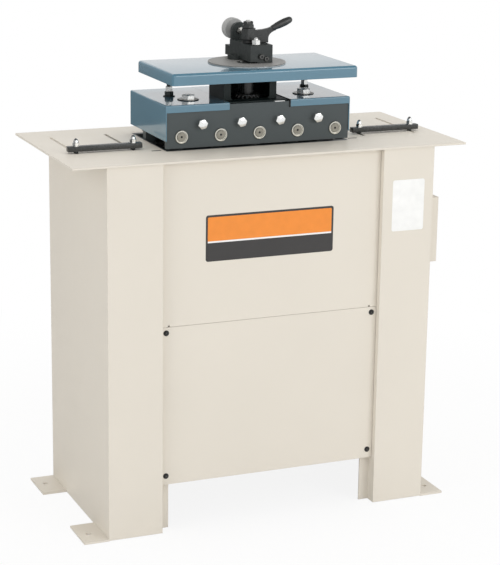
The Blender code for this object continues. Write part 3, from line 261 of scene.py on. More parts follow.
def metal(name, colour, roughness, stretch=(1, 1, 1), share=1.0):
    """Bare or plated metal, brushed across the direction in which it is stretched. Plating that
    scatters some of its light has a lower share of metal."""
    grain, darkest, lightest = 300, 0.88, 1.08
    least, most = roughness * 0.75, roughness * 1.3
    depth, strength, edge = 0.03 * MM, 0.1, 0.5 * MM
    made, tree, shader = new_material(name)
    shader.inputs["Metallic"].default_value = share
    value = noise(tree, texture_place(tree, stretch), grain)
    shaded_colour(tree, shader, colour, value, darkest, lightest)
    tree.links.new(spread(tree, value, least, most), shader.inputs["Roughness"])
    relief(tree, shader, value, depth, strength, edge)
    return made


MATERIALS = {
    "cream": powder_coat("cream_powder_coat", CREAM, 0.42),
    "blue": gloss_paint("blue_enamel", BLUE),
    "graphite": powder_coat("graphite_coat", GRAPHITE, 0.4, peel=0.12),
    "bracket": powder_coat("bracket_paint", BLACK_PAINT, 0.45, peel=0.12),
    "motor": powder_coat("motor_paint", MOTOR_GREY, 0.5),
    "oxide": oxide_finish("black_oxide", OXIDE, 0.42),
    "burnished": oxide_finish("burnished_oxide", BURNISHED, 0.28),
    "knob": oxide_finish("dull_grey", KNOB_GREY, 0.6),
    "zinc": metal("bright_zinc", ZINC, 0.16),
    "plated": metal("bright_plating", PLATED, 0.24, share=0.55),
    "steel": metal("machined_steel", STEEL, 0.34),
    "ring": metal("bronze_ring", RING_BRONZE, 0.22),
    "disc": metal("turned_steel", DISC_STEEL, 0.48, share=0.4),
    "shaft": metal("shaft_end_steel", SHAFT_STEEL, 0.45),
    # Grey for socket heads, and for the points that paint highlights in pan heads
    "socket": metal("blackened_screw_and_highlight", SOCKET_AND_HIGHLIGHT_GREY, 0.35),
    # Bright lines that paint highlights, on the front plate's edge and at the disc's foot
    "edge": metal("painted_highlight_lines", ZINC, 0.3, share=0.5),
    "rolls": metal("ground_steel", DARK_STEEL, 0.3, stretch=(1, 1, 8)),
    # For the belt, and for the black strips that paint shade in a gap and under washers
    "rubber": plastic("belt_rubber", RUBBER_AND_SHADE, 0.75),
    "green": plastic("green_button", BUTTON_GREEN, 0.3),
    "red": plastic("red_button", BUTTON_RED, 0.3),
    # Black for screws and glands, and for plugs, plates, rings and faces that paint shade
    "black": plastic("black_screw_and_shade", SCREW_AND_SHADE_BLACK, 0.4),
    "white": plastic("white_plate", WHITE, 0.4),
    "orange": plastic("orange_print", ORANGE, 0.4),
    "charcoal": plastic("charcoal_print", CHARCOAL, 0.4),
}

# Each finish and the words in the names of its nodes, where a later line counts for more
FINISHES = (
    ("cream", "leg", "table_top", "panel", "switch_box"),
    ("blue", "cover", "tray"),
    ("graphite", "bearing_plate", "lower_frame", "motor_shelf"),
    ("zinc", "nut", "bushing", "tie_bolt", "tray_stud"),
    ("oxide", "flanger", "clamp"),
    ("burnished", "guide_bar"),
    ("black", "gland"),
    ("steel", "pulley", "idler", "cross_shaft"),
    ("disc", "tray_disc"),
    ("bracket", "flanger_bracket"),
    ("rolls", "upper_spindle", "lower_spindle"),
    ("knob", "wheel"),
    ("rubber", "belt"),
    ("motor", "gear_motor"),
    ("green", "start_button"),
    ("red", "stop_button"),
)


def dress_nodes():
    """Each node gets the last of the finishes above that its name calls for."""
    for name, node in nodes.items():
        called = [finish for finish, *words in FINISHES if any(word in name for word in words)]
        node.material_slots[0].material = MATERIALS[called[-1]]


# Meshes
def linked(name, mesh):
    made = bpy.data.objects.new(name, mesh)
    bpy.context.scene.collection.objects.link(made)
    return made


def smoothed(mesh, sharp=SHARP):
    """Shades a mesh smooth, but for edges that turn more than this many degrees."""
    mesh.shade_smooth()
    mesh.set_sharp_from_angle(angle=math.radians(sharp))


def mesh_object(name, bm, finish, place=Matrix.Identity(4), sharp=SHARP):
    mesh = bpy.data.meshes.new(name)
    bm.to_mesh(mesh)
    bm.free()
    mesh.transform(place)
    smoothed(mesh, sharp)
    mesh.materials.append(MATERIALS[finish])
    return linked(name, mesh)


def dressed_copy(name, node, *finishes):
    """A copy of a node's mesh in other finishes, to be shown in its place."""
    made = linked(name, nodes[node].data.copy())
    made.data.materials.clear()
    for finish in finishes:
        made.data.materials.append(MATERIALS[finish])
    return made


def around(bm, turns, radii, heights):
    """Adds a point at each turn about Z, and gives them as a ring."""
    spots = zip(turns, radii, heights)
    return [bm.verts.new((r * math.cos(a), r * math.sin(a), z)) for a, r, z in spots]


def skinned(bm, rings):
    """Joins rings, from the lowest to the highest, into a solid with flat ends."""
    count = len(rings[0])
    for lower, upper in zip(rings, rings[1:]):
        for k in range(count):
            after = (k + 1) % count
            bm.faces.new((lower[k], lower[after], upper[after], upper[k]))
    bm.faces.new(rings[0][::-1])
    bm.faces.new(rings[-1])


def walled(bm, rings):
    """Joins rings, or a ring and an end point, from the top down."""
    for upper, lower in zip(rings, rings[1:]):
        for k in range(max(len(upper), len(lower))):
            corners = [upper[k % len(upper)], lower[k % len(lower)]]
            corners += [lower[(k + 1) % len(lower)], upper[(k + 1) % len(upper)]]
            bm.faces.new(dict.fromkeys(corners))


def turned(bm, profile, sides=48):
    """Adds a turned solid about Z. The profile's (radius, height) points run top to bottom."""
    turns = [2 * math.pi * k / sides for k in range(sides)]
    rings = []
    for radius, height in profile:
        if radius == 0:
            rings.append([bm.verts.new((0, 0, height))])
        else:
            rings.append(around(bm, turns, [radius] * sides, [height] * sides))
    walled(bm, rings)
    bmesh.ops.recalc_face_normals(bm, faces=bm.faces)


def turned_piece(name, profile, finish, place, sides=48):
    """A turned solid as a piece of its own, or a ring where the profile ends at its start."""
    bm = bmesh.new()
    turned(bm, profile, sides)
    if profile[0] == profile[-1]:
        bmesh.ops.remove_doubles(bm, verts=bm.verts, dist=MERGE)
    return mesh_object(name, bm, finish, place)


def rod(radius, top, bottom):
    """The (radius, height) points of a plain round bar."""
    return [(0, top), (radius, top), (radius, bottom), (0, bottom)]


def dome(radius, top, drop, steps=8):
    """The (radius, height) points from a dome's top down to its rim."""
    turns = [math.pi / 2 * k / steps for k in range(steps + 1)]
    return [(radius * math.sin(a), top - drop * (1 - math.cos(a))) for a in turns]


def threaded(radius, top, bottom, pitch=1.5 * MM, depth=0.5 * MM):
    """The (radius, height) points down a threaded rod's side, with a chamfered end on top."""
    count = max(2, round((top - bottom) / pitch))
    points = [(0, top), (radius - 2 * depth, top)]
    for k in range(count):
        level = top - (k + 1) * (top - bottom) / count
        points.append((radius, level + pitch / 2))
        points.append((radius - depth, level))
    points[-1] = (radius, bottom)
    points.append((0, bottom))
    return points


def hex_head(bm, half_width, bottom, height, turn=0, chamfered=("top",), face_share=0.95):
    """Adds a hexagonal head about Z, whose corners are turned off to a round face."""
    steps = 48
    sixth = math.pi / 3
    slope = math.tan(math.radians(30))
    turns = [2 * math.pi * k / steps for k in range(steps)]
    turned_on = [a + turn for a in turns]
    face = [half_width * face_share] * steps
    reaches = [half_width / math.cos(a % sixth - sixth / 2) for a in turns]
    cuts = [(reach - inner) * slope for reach, inner in zip(reaches, face)]
    top = bottom + height
    levels = []
    if "bottom" in chamfered:
        levels += [(face, [bottom] * steps), (reaches, [bottom + c for c in cuts])]
    else:
        levels.append((reaches, [bottom] * steps))
    if "top" in chamfered:
        levels += [(reaches, [top - c for c in cuts]), (face, [top] * steps)]
    else:
        levels.append((reaches, [top] * steps))
    skinned(bm, [around(bm, turned_on, radii, heights) for radii, heights in levels])


def block(bm, size, centre=(0, 0, 0)):
    made = bmesh.ops.create_cube(bm, size=1)["verts"]
    bmesh.ops.scale(bm, vec=size, verts=made)
    bmesh.ops.translate(bm, vec=centre, verts=made)


def bevelled(bm, edges, offset, segments):
    bmesh.ops.bevel(bm, geom=edges, offset=offset, segments=segments, affect="EDGES", profile=0.5)


def plate(name, finish, place, width, height, thickness, corner):
    """A plate that is flat in X and Y and stands up from its place in Z."""
    bm = bmesh.new()
    block(bm, (width, height, thickness), (0, 0, thickness / 2))
    upright = [e for e in bm.edges if e.verts[0].co.xy == e.verts[1].co.xy]
    bevelled(bm, upright, corner, segments=8)
    return mesh_object(name, bm, finish, place)


def applied(piece, *modifiers):
    """Adds modifiers, given as (kind, settings), and makes their result the piece's mesh."""
    for kind, settings in modifiers:
        modifier = piece.modifiers.new(kind.lower(), kind)
        for name, value in settings.items():
            setattr(modifier, name, value)
    graph = bpy.context.evaluated_depsgraph_get()
    mesh = bpy.data.meshes.new_from_object(piece.evaluated_get(graph))
    piece.modifiers.clear()
    piece.data = mesh


def cut(piece, cutter):
    applied(piece, ("BOOLEAN", {"operation": "DIFFERENCE", "object": cutter, "solver": "EXACT"}))
    bpy.data.objects.remove(cutter, do_unlink=True)
    smoothed(piece.data)


def bored(piece, finish, radius, top, bottom):
    """Bores a piece from a top to a bottom, round the flanging roll's axis."""
    place = spot(*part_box("flanger_spindle"), z=0)
    cut(piece, turned_piece("bore", rod(radius, top, bottom), finish, place))


def spot(low, high, **given):
    """The middle of a box, apart from the places that are given along an axis."""
    middle = (low + high) / 2
    for axis, value in given.items():
        setattr(middle, axis, value)
    return Matrix.Translation(middle)


def carried(piece, body, slot, *replaced):
    """Makes a piece ride on a body, with the nodes it stands for. The slot that it takes is not
    used.
    """
    if replaced:
        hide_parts(*replaced)
    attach(piece, body)


# Small pieces on the cabinet
def pan_screw(name, place, size=1.0):
    """A black screw with a pan head on its washer, and a grey point in its recess that paints a
    highlight at the head's centre.
    """
    radius, height, washer = 5.2 * MM * size, 3.2 * MM * size, 7 * MM * size
    profile = [(radius * out, height * up) for out, up in PAN_HEAD_SHARES]
    recess, floor = profile[1]
    profile += [(washer, profile[-1][1]), (washer, -SINK), (0, -SINK)]
    head = turned_piece(name, profile, "black", place, sides=24)
    carried(head, "cabinet", "cable_gland")
    # A grey point in the recess: a painted highlight at the head's centre
    profile = [(0, height), (recess, floor + GAP), (0, floor)]
    point = turned_piece(name + "_point", profile, "socket", place, sides=16)
    carried(point, "cabinet", "cable_gland")


def panel_screws():
    """Screws in the lower front panel's corners and down both sides of the rear panel."""
    inset, drop, rise = 13.2 * MM, 13.7 * MM, 22 * MM
    low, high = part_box("lower_front_panel")
    count = 0
    for x in (low.x + inset, high.x - inset):
        for z in (high.z - drop, low.z + rise):
            count += 1
            pan_screw(f"panel_screw_{count}", Matrix.Translation((x, low.y, z)) @ AXES["-Y"])
    low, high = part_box("rear_panel")
    for x in (low.x + inset, high.x - inset):
        for z in (high.z - rise, (low.z + high.z) / 2, low.z + rise):
            count += 1
            pan_screw(f"panel_screw_{count}", Matrix.Translation((x, high.y, z)) @ AXES["Y"])


def switch_details():
    """A bright collar round each button, and the screws that hold the switch box's front."""
    room, width, height, chamfer = 0.8 * MM, 2.6 * MM, 1.4 * MM, 0.4 * MM
    inset, screw_size = 9 * MM, 0.55
    low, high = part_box("switch_box")
    for name in ("start_button", "stop_button"):
        button_low, button_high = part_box(name)
        inner = (button_high.z - button_low.z) / 2 + room
        outer = inner + width
        profile = [(inner, height), (outer - chamfer, height), (outer, height - chamfer)]
        profile += [(outer, -SINK), (inner, -SINK), (inner, height)]
        place = spot(low, high, x=high.x, z=(button_low.z + button_high.z) / 2) @ AXES["X"]
        collar = turned_piece(name + "_collar", profile, "plated", place)
        carried(collar, "cabinet", "acorn_nut")
    for label, z in (("upper", high.z - inset), ("lower", low.z + inset)):
        place = spot(low, high, x=high.x, z=z) @ AXES["X"]
        pan_screw(f"switch_screw_{label}", place, screw_size)


def buttons():
    """Both buttons with a domed face, the stop button as a mushroom on its stem."""
    stem, head_height, edge = 8 * MM, 8 * MM, 0.8 * MM
    crowns = (("start_button", "green", 0.8 * MM), ("stop_button", "red", 2.2 * MM))
    for name, finish, crown in crowns:
        low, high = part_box(name)
        radius = (high.z - low.z) / 2
        length = high.x - low.x
        profile = dome(radius, length, crown)
        if name == "stop_button":
            floor = length - head_height
            profile += [(radius, floor + edge), (radius - edge, floor), (stem, floor), (stem, 0)]
        else:
            profile.append((radius, 0))
        place = spot(low, high, x=low.x) @ AXES["X"]
        button = turned_piece(name + "_turned", profile + [(0, 0)], finish, place)
        carried(button, name, name, name)


def badge():
    """A plain decal in two colours, with nothing on it."""
    low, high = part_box("upper_front_panel")
    aside, drop = -6 * MM, 188 * MM
    middle = Vector((aside, low.y + GAP / 2, high.z - drop))
    # Each layer's name, width, height, corner, thickness, finish and place above the middle
    layers = [
        ("badge_border", 330 * MM, 112 * MM, 6 * MM, 0.3 * MM, "charcoal", 0),
        ("badge_field", 320 * MM, 102 * MM, 3 * MM, 0.5 * MM, "orange", 0),
        ("badge_band", 320 * MM, 40 * MM, 1 * MM, 0.7 * MM, "charcoal", -31 * MM),
        ("badge_line", 320 * MM, 4 * MM, 0.5 * MM, 0.8 * MM, "white", -9 * MM),
    ]
    for name, width, height, corner, thickness, finish, above in layers:
        place = Matrix.Translation(middle + Vector((0, 0, above))) @ AXES["-Y"]
        layer = plate(name, finish, place, width, height, thickness, corner)
        carried(layer, "cabinet", "upper_front_panel")


def rating_plate():
    """The bare plate on the right leg."""
    width, height, corner, thickness = 86 * MM, 127 * MM, 5 * MM, 0.6 * MM
    x, y, z = 352 * MM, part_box("right_leg")[0].y + GAP, 767.5 * MM
    place = Matrix.Translation((x, y, z)) @ AXES["-Y"]
    made = plate("rating_plate", "white", place, width, height, thickness, corner)
    carried(made, "cabinet", "right_leg")


def guide_bar(side, first, second):
    """A black bar on two bright studs with nuts, in place of the plain one."""
    node = f"{side}_guide_bar"
    low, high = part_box(node)
    bar_height, bar_width, rise, edge = 12.5 * MM, 18 * MM, 4 * MM, 1 * MM
    nut_half, nut_height, stud_height, dome_share = 7.2 * MM, 8 * MM, 19 * MM, 0.9
    washer, washer_height = 9 * MM, 1 * MM
    foot, neck, clamp, clamp_height = 5.5 * MM, 3.7 * MM, 8.5 * MM, 6 * MM
    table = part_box("table_top")[1].z
    top = table + rise + bar_height
    seat = top + washer_height
    bm = bmesh.new()
    block(bm, (high.x - low.x, bar_width, bar_height))
    bevelled(bm, list(bm.edges), edge, segments=2)
    place = spot(low, high, z=top - bar_height / 2)
    carried(mesh_object(node + "_bar", bm, "burnished", place), node, node, node)
    clamp_top = low.z + clamp_height
    profile = [(0, table + rise), (foot, table + rise), (foot, table + GAP), (neck, table + GAP)]
    profile += [(neck, clamp_top), (clamp, clamp_top), (clamp, low.z), (0, low.z)]
    for label, x in (("outer", first), ("inner", second)):
        place = spot(low, high, x=x, z=0)
        bm = bmesh.new()
        hex_head(bm, nut_half, seat, nut_height, chamfered=BOTH_FACES)
        turned(bm, rod(washer, seat, top), sides=32)
        cap = dome(nut_half * dome_share, top + stud_height, stud_height - nut_height, steps=6)
        turned(bm, cap + [(0, seat)], sides=32)
        carried(mesh_object(f"{node}_{label}_nut", bm, "zinc", place), node, "acorn_nut")
        stud = turned_piece(f"{node}_{label}_foot", profile, "oxide", place, sides=32)
        carried(stud, node, node)


def slot_shade_plates():
    """Black plates in the two short gauge slots in the table, which paint the shade inside them.
    """
    length, width, corner, thickness = 24 * MM, 6.5 * MM, 2 * MM, 0.3 * MM
    away, y, sunk = 20 * MM, -93 * MM, 0.1 * MM
    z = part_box("table_top")[1].z - sunk
    low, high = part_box("front_bearing_plate")
    for side, x in (("left", low.x - away), ("right", high.x + away)):
        # Each black plate paints the shade inside a slot
        place = Matrix.Translation((x, y, z))
        slot = plate(f"{side}_slot_shade_plate", "black", place, length, width, thickness, corner)
        carried(slot, "cabinet", "table_top")


# Small pieces on the head
def bushings():
    """Bright narrow rings round a dark groove, in place of the plain bushings."""
    chamfer, proud, recess = 0.7 * MM, 1.2 * MM, 2.2 * MM
    inner, mouth = 11.4 * MM, 13.3 * MM
    for k in PAIRS:
        name = f"bushing_{k}"
        low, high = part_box(name)
        outer = (high.x - low.x) / 2
        front = high.y - low.y + proud
        profile = [(mouth, front), (outer - chamfer, front), (outer, front - chamfer)]
        profile += [(outer, 0), (inner, 0), (inner, front - recess)]
        profile += [(mouth, front - recess), (mouth, front)]
        place = spot(low, high, y=high.y) @ AXES["-Y"]
        ring = turned_piece(f"bushing_ring_{k}", profile, "ring", place, sides=64)
        carried(ring, "cabinet", name, name)


def shaft_faces():
    """The turned end of each upper shaft, seen in its bushing, with a black plug in its centre
    hole that paints the shade inside the hole.
    """
    radius, depth, hole, groove = 10.9 * MM, 0.9 * MM, 3 * MM, 0.5 * MM
    hole_end, line_shares = hole * 0.7, (0.5, 0.75)
    for k in PAIRS:
        node = f"upper_spindle_{k}"
        place = spot(*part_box(f"bushing_{k}"), y=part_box(node)[0].y) @ AXES["-Y"]
        profile = [(hole_end, -depth), (hole, depth)]
        for line in (radius * share for share in line_shares):
            profile += [(line, depth), (line + groove / 2, depth - groove)]
            profile.append((line + groove, depth))
        profile += [(radius - groove, depth), (radius, depth - groove)]
        profile += [(radius, -depth), (hole_end, -depth)]
        carried(turned_piece(f"shaft_face_{k}", profile, "shaft", place), node, node)
        # A black plug in the centre hole: painted shade inside the hole
        profile = rod(hole, depth / 3, -depth)
        centre = turned_piece(f"shaft_hole_shade_{k}", profile, "black", place, sides=24)
        carried(centre, node, node)


def socket_screw(name, radius, proud, place, slot):
    """A socket-head screw whose head stands out of the face that place is on, with a black plug
    in its socket that paints the shade inside it.
    """
    well_share, chamfer_share, depth_share = 0.5, 0.15, 0.8
    well, chamfer = radius * well_share, radius * chamfer_share
    floor = proud - radius * depth_share
    profile = [(0, floor), (well, floor), (well, proud), (radius - chamfer, proud)]
    profile += [(radius, proud - chamfer), (radius, floor - chamfer), (0, floor - chamfer)]
    carried(turned_piece(name, profile, "socket", place, sides=32), "cabinet", slot)
    # A black plug in the socket: painted shade inside the recess
    profile = rod(well, proud - chamfer, floor)
    dark = turned_piece(name + "_well", profile, "black", place, sides=24)
    carried(dark, "cabinet", slot)


def head_screws():
    """A sunk screw in the front plate, and two that stand out of the block."""
    x, z, radius, proud = -142.5 * MM, 936.6 * MM, 5 * MM, -0.6 * MM
    place = Matrix.Translation((x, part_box("front_bearing_plate")[0].y, z)) @ AXES["-Y"]
    socket_screw("front_plate_screw", radius, proud, place, "front_bearing_plate")
    block_front, block_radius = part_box("flanger_block")[0].y, 6.4 * MM
    for k, (x, z, proud) in enumerate(BLOCK_SCREWS):
        place = Matrix.Translation((x, block_front, z)) @ AXES["-Y"]
        socket_screw(f"block_screw_{k + 1}", block_radius, proud, place, "flanger_block")


def tie_bolts():
    """Long bolts with round-faced hex heads, in place of the plain ones."""
    head_half, head_length, head_turn, face_share = 10.7 * MM, 14 * MM, 0.2, 0.93
    shank, shoulder, nut_half, nut_height = 7.8 * MM, 11.8 * MM, 10 * MM, 8 * MM
    plate_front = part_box("front_bearing_plate")[0].y
    plate_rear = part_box("rear_bearing_plate")[1].y
    for k in TIE_BOLTS:
        name = f"tie_bolt_{k}"
        low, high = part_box(name)
        gear_low, gear_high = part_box(f"idler_gear_{k}")
        head_low = high.y - low.y - head_length
        head_seat = high.y - plate_front + GAP
        shoulder_high, shoulder_low = high.y - plate_rear - GAP, high.y - gear_low.y + GAP
        nut_low = high.y - gear_high.y - GAP - nut_height
        bm = bmesh.new()
        hex_head(bm, head_half, head_low, head_length, head_turn, face_share=face_share)
        profile = [(0, head_seat), (shank, head_seat), (shank, shoulder_high)]
        profile += [(shoulder, shoulder_high), (shoulder, shoulder_low)]
        profile += [(shank, shoulder_low), (shank, 0), (0, 0)]
        turned(bm, profile, sides=32)
        hex_head(bm, nut_half, nut_low, nut_height, chamfered=("bottom",))
        place = spot(low, high, y=high.y) @ AXES["-Y"]
        carried(mesh_object(f"{name}_detailed", bm, "zinc", place), "cabinet", name, name)


def cover_nuts():
    """A washer and a chamfered nut on each cover, over a black ring that paints the washer's
    shadow line, and the screw that they hold.
    """
    shadow_ring_height, shadow_ring_lip, washer_height = 0.9 * MM, 0.7 * MM, 1 * MM
    slope_width, edge_height = 0.5 * MM, 0.4 * MM
    nut_half, nut_turn, screw_radius = 15 * MM, 0.12, 7.5 * MM
    top = shadow_ring_height + washer_height
    for side in SIDES:
        name = f"{side}_cover_nut"
        low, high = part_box(name)
        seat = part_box(f"{side}_cover")[1].z + GAP
        washer = (high.x - low.x) / 2 - shadow_ring_lip
        place = spot(low, high, z=seat)
        # A black ring under the washer: a painted shadow line
        profile = rod(washer + shadow_ring_lip, shadow_ring_height, 0)
        carried(turned_piece(f"{name}_washer_shadow", profile, "rubber", place), "cabinet", name)
        profile = [(0, top), (washer - slope_width, top), (washer, shadow_ring_height + edge_height)]
        profile += [(washer, shadow_ring_height), (0, shadow_ring_height)]
        carried(turned_piece(f"{name}_washer", profile, "steel", place), "cabinet", name)
        bm = bmesh.new()
        hex_head(bm, nut_half, top, high.z - seat - top, nut_turn)
        turned(bm, rod(screw_radius, top, low.z - seat), sides=32)
        carried(mesh_object(f"{name}_hex", bm, "plated", place), "cabinet", name, name)


def head_edges():
    """A bright strip on the front plate's top edge that paints a highlight, the sheet between the
    covers behind the bracket, and a dark strip on the right cover's inner edge that paints the
    shade of the gap there."""
    low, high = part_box("front_bearing_plate")
    left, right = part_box("left_cover"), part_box("right_cover")
    # A bright strip on the plate's top edge: a painted highlight
    edge_highlight_left, edge_highlight_right, edge_highlight_depth, edge_highlight_height = 46 * MM, 72 * MM, 6.6 * MM, 1.6 * MM
    edge_highlight_middle = ((edge_highlight_left + edge_highlight_right) / 2, low.y + edge_highlight_depth / 2, high.z - GAP)
    edge_highlight_size = (edge_highlight_right - edge_highlight_left, edge_highlight_depth, edge_highlight_height + GAP, GAP)
    edge_highlight = plate("plate_edge_highlight", "edge", Matrix.Translation(edge_highlight_middle), *edge_highlight_size)
    carried(edge_highlight, "cabinet", "front_bearing_plate")
    sheet_front, sheet_under = 26.5 * MM, 1021.3 * MM
    hole_left, hole_right, hole_rear = -27 * MM, 40 * MM, 95 * MM
    sheet_left, sheet_right = left[1].x + 2 * GAP, right[0].x - 2 * GAP
    sheet_rear = left[1].y - GAP
    outline = [(sheet_left, sheet_front), (hole_left, sheet_front), (hole_left, hole_rear)]
    outline += [(hole_right, hole_rear), (hole_right, sheet_front)]
    outline += [(sheet_right, sheet_front), (sheet_right, sheet_rear), (sheet_left, sheet_rear)]
    bm = bmesh.new()
    skinned(bm, [[bm.verts.new((x, y, z)) for x, y in outline] for z in (sheet_under, left[1].z)])
    carried(mesh_object("rear_sheet", bm, "blue"), "cabinet", "left_cover")
    # A dark strip at the right cover's inner edge: painted shade in the gap there
    width, height, lip = 3 * MM, 5 * MM, 18.5 * MM
    front, rear, top = right[0].y, right[1].y, right[1].z
    bm = bmesh.new()
    block(bm, (width, rear - front, height), (0, (rear + front) / 2, top - height / 2))
    block(bm, (width, height, lip), (0, front + height / 2, top - lip / 2))
    place = Matrix.Translation((right[0].x - width / 2 - GAP, 0, 0))
    carried(mesh_object("right_cover_gap_shade", bm, "rubber", place), "cabinet", "right_cover")


# Pieces of the flanging attachment
def rounded_outline(low, high, inset, corner, steps=8):
    """Points round a rectangle that is drawn in by an inset, with its corners rounded."""
    away = max(corner, inset)
    radius = corner - min(corner, inset)
    middles = [(high.x - away, high.y - away), (low.x + away, high.y - away)]
    middles += [(low.x + away, low.y + away), (high.x - away, low.y + away)]
    points = []
    for quarter, (x, y) in enumerate(middles):
        for k in range(steps + 1):
            angle = math.pi / 2 * (quarter + k / steps)
            points.append((x + radius * math.cos(angle), y + radius * math.sin(angle)))
    return points


def folded_pan(bm, low, high, sheet, bend, corner):
    """Adds a pan that is open below, of one sheet whose edges are folded down round a bend."""
    inner = bend - sheet
    outside = [(bend - out, high.z - down) for out, down in dome(bend, 0, -bend)]
    inside = [(bend - out, high.z - sheet - down) for out, down in dome(inner, 0, -inner)]
    rings = []
    for inset, z in outside + [(0, low.z), (sheet, low.z)] + inside[::-1]:
        outline = rounded_outline(low, high, inset, corner)
        rings.append([bm.verts.new((x, y, z)) for x, y in outline])
    walled(bm, rings)
    bm.faces.new(rings[0])
    bm.faces.new(rings[-1][::-1])
    bmesh.ops.recalc_face_normals(bm, faces=bm.faces)


def tray():
    """The tray with a wide smooth bend all round, bored for the flanging roll."""
    sheet, bend, corner, bore = 3 * MM, 7 * MM, 8.5 * MM, 27 * MM
    low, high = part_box("tray")
    bm = bmesh.new()
    folded_pan(bm, low, high, sheet, bend, corner)
    made = mesh_object("tray_pan", bm, "blue")
    bored(made, "blue", bore, high.z + bend, high.z - bend)
    carried(made, "cabinet", "tray", "tray")


def disc():
    """The tray's turned disc, with fine rings and an undercut rim. Under the rim a black ring
    paints the shade of the undercut, and a bright ring at its foot paints a highlight line."""
    low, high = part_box("tray_disc")
    overhang, undercut, groove, wall = 1.6 * MM, 1.2 * MM, 0.35 * MM, 1 * MM
    side_inset, side_bottom, rim_highlight_lip, rim_highlight_height = 0.4 * MM, 1 * MM, 0.6 * MM, 0.9 * MM
    bore, sides, line_shares = 26 * MM, 128, (0.35, 0.62, 0.9)
    radius = (high.x - low.x) / 2 + overhang
    height = high.z - low.z
    rim_low = height - undercut - groove
    profile = [(0, height)]
    for line in (radius * share for share in line_shares):
        profile += [(line, height), (line + groove, height - groove), (line + 2 * groove, height)]
    profile += [(radius - groove, height), (radius, height - groove)]
    profile += [(radius, height - undercut), (radius - undercut, rim_low)]
    profile += [(radius - undercut, 0), (0, 0)]
    place = spot(low, high, z=low.z)
    made = turned_piece("tray_disc_turned", profile, "disc", place, sides)
    bored(made, "disc", bore, high.z + bore, low.z - bore)
    carried(made, "cabinet", "tray_disc", "tray_disc")
    inside = radius - undercut - wall
    # A black ring paints the shade under the rim, and a bright ring at the foot paints a
    # highlight line
    for label, finish, reach, top, bottom in (
        ("side", "black", radius - side_inset, rim_low, side_bottom),
        ("seat", "edge", radius + rim_highlight_lip, rim_highlight_height, 0),
    ):
        ring = [(inside, top), (reach, top), (reach, bottom), (inside, bottom), (inside, top)]
        piece = turned_piece(f"tray_disc_{label}", ring, finish, place, sides)
        carried(piece, "cabinet", "tray_disc")


def tray_studs():
    """A black flanged foot, two bright nuts and a threaded stud under the tray."""
    foot_radius, rim_height, slope_radius, slope_height = 14.4 * MM, 1 * MM, 13 * MM, 1.8 * MM
    boss_radius, foot_height, hex_half, hex_height = 9 * MM, 3 * MM, 10 * MM, 9 * MM
    nut_half, nut_low, nut_height = 7.8 * MM, 12.2 * MM, 12 * MM
    hex_turn, nut_turn = 0.3, 0.1
    stud_radius, thread_low, pitch, thread_depth = 6 * MM, 24 * MM, 1.75 * MM, 0.7 * MM
    foot = [(0, foot_height), (boss_radius, foot_height), (slope_radius, slope_height)]
    foot += [(foot_radius, rim_height), (foot_radius, 0), (0, 0)]
    for side in SIDES:
        name = f"{side}_tray_stud"
        low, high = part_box(name)
        place = spot(low, high, z=low.z)
        bm = bmesh.new()
        turned(bm, foot, sides=40)
        hex_head(bm, hex_half, foot_height, hex_height, hex_turn)
        carried(mesh_object(f"{name}_foot", bm, "oxide", place), "cabinet", name, name)
        bm = bmesh.new()
        hex_head(bm, nut_half, nut_low, nut_height, nut_turn, BOTH_FACES)
        carried(mesh_object(f"{name}_nuts", bm, "plated", place), "cabinet", name)
        profile = threaded(stud_radius, high.z - low.z, thread_low, pitch, thread_depth)
        thread = turned_piece(f"{name}_thread", profile, "oxide", place, sides=32)
        carried(thread, "cabinet", name)


def crown_teeth():
    """The upright spindle, dark but for its crown gear's teeth, which take the rolls' lighter
    ground steel and so also paint the highlights on the teeth's edges, and the bright pin in its
    roll."""
    name = "flanger_spindle"
    low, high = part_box(name)
    middle = (low + high) / 2
    teeth_from, tooth_face = (high.x - low.x) / 2 * 0.9, 12 * MM * MM
    made = dressed_copy("flanger_spindle_dressed", name, "burnished", "rolls")
    # The teeth's lighter steel also paints the highlights on their edges
    for face in made.data.polygons:
        out = (face.center - middle).xy.length
        if out > teeth_from and face.area < tooth_face:
            face.material_index = 1
    carried(made, name, name, name)
    x, y, radius, proud, depth = -4.9 * MM, -16.8 * MM, 3.5 * MM, 0.35 * MM, 0.6 * MM
    place = Matrix.Translation((x, y, high.z))
    profile = rod(radius, proud, -depth)
    pin = turned_piece("flanger_roll_pin", profile, "plated", place, sides=24)
    carried(pin, name, name)


def acorn():
    """The block's bright domed nut, on its shank."""
    name = "acorn_nut"
    low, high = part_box(name)
    seat_rise, hex_height, hex_half, hex_turn = 42.9 * MM, 11.5 * MM, 9.2 * MM, math.radians(8)
    dome_radius, shank, face_share = 5 * MM, 4.8 * MM, 0.9
    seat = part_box("flanger_block")[0].z + seat_rise + GAP
    top, shank_end = high.z - seat, low.z - seat
    profile = dome(dome_radius, top, top - hex_height)
    profile += [(dome_radius, hex_height / 2), (shank, hex_height / 2)]
    profile += [(shank, shank_end), (0, shank_end)]
    bm = bmesh.new()
    turned(bm, profile, sides=40)
    hex_head(bm, hex_half, 0, hex_height, hex_turn, BOTH_FACES, face_share)
    place = spot(low, high, z=seat)
    carried(mesh_object("acorn_nut_detailed", bm, "plated", place), "cabinet", name, name)


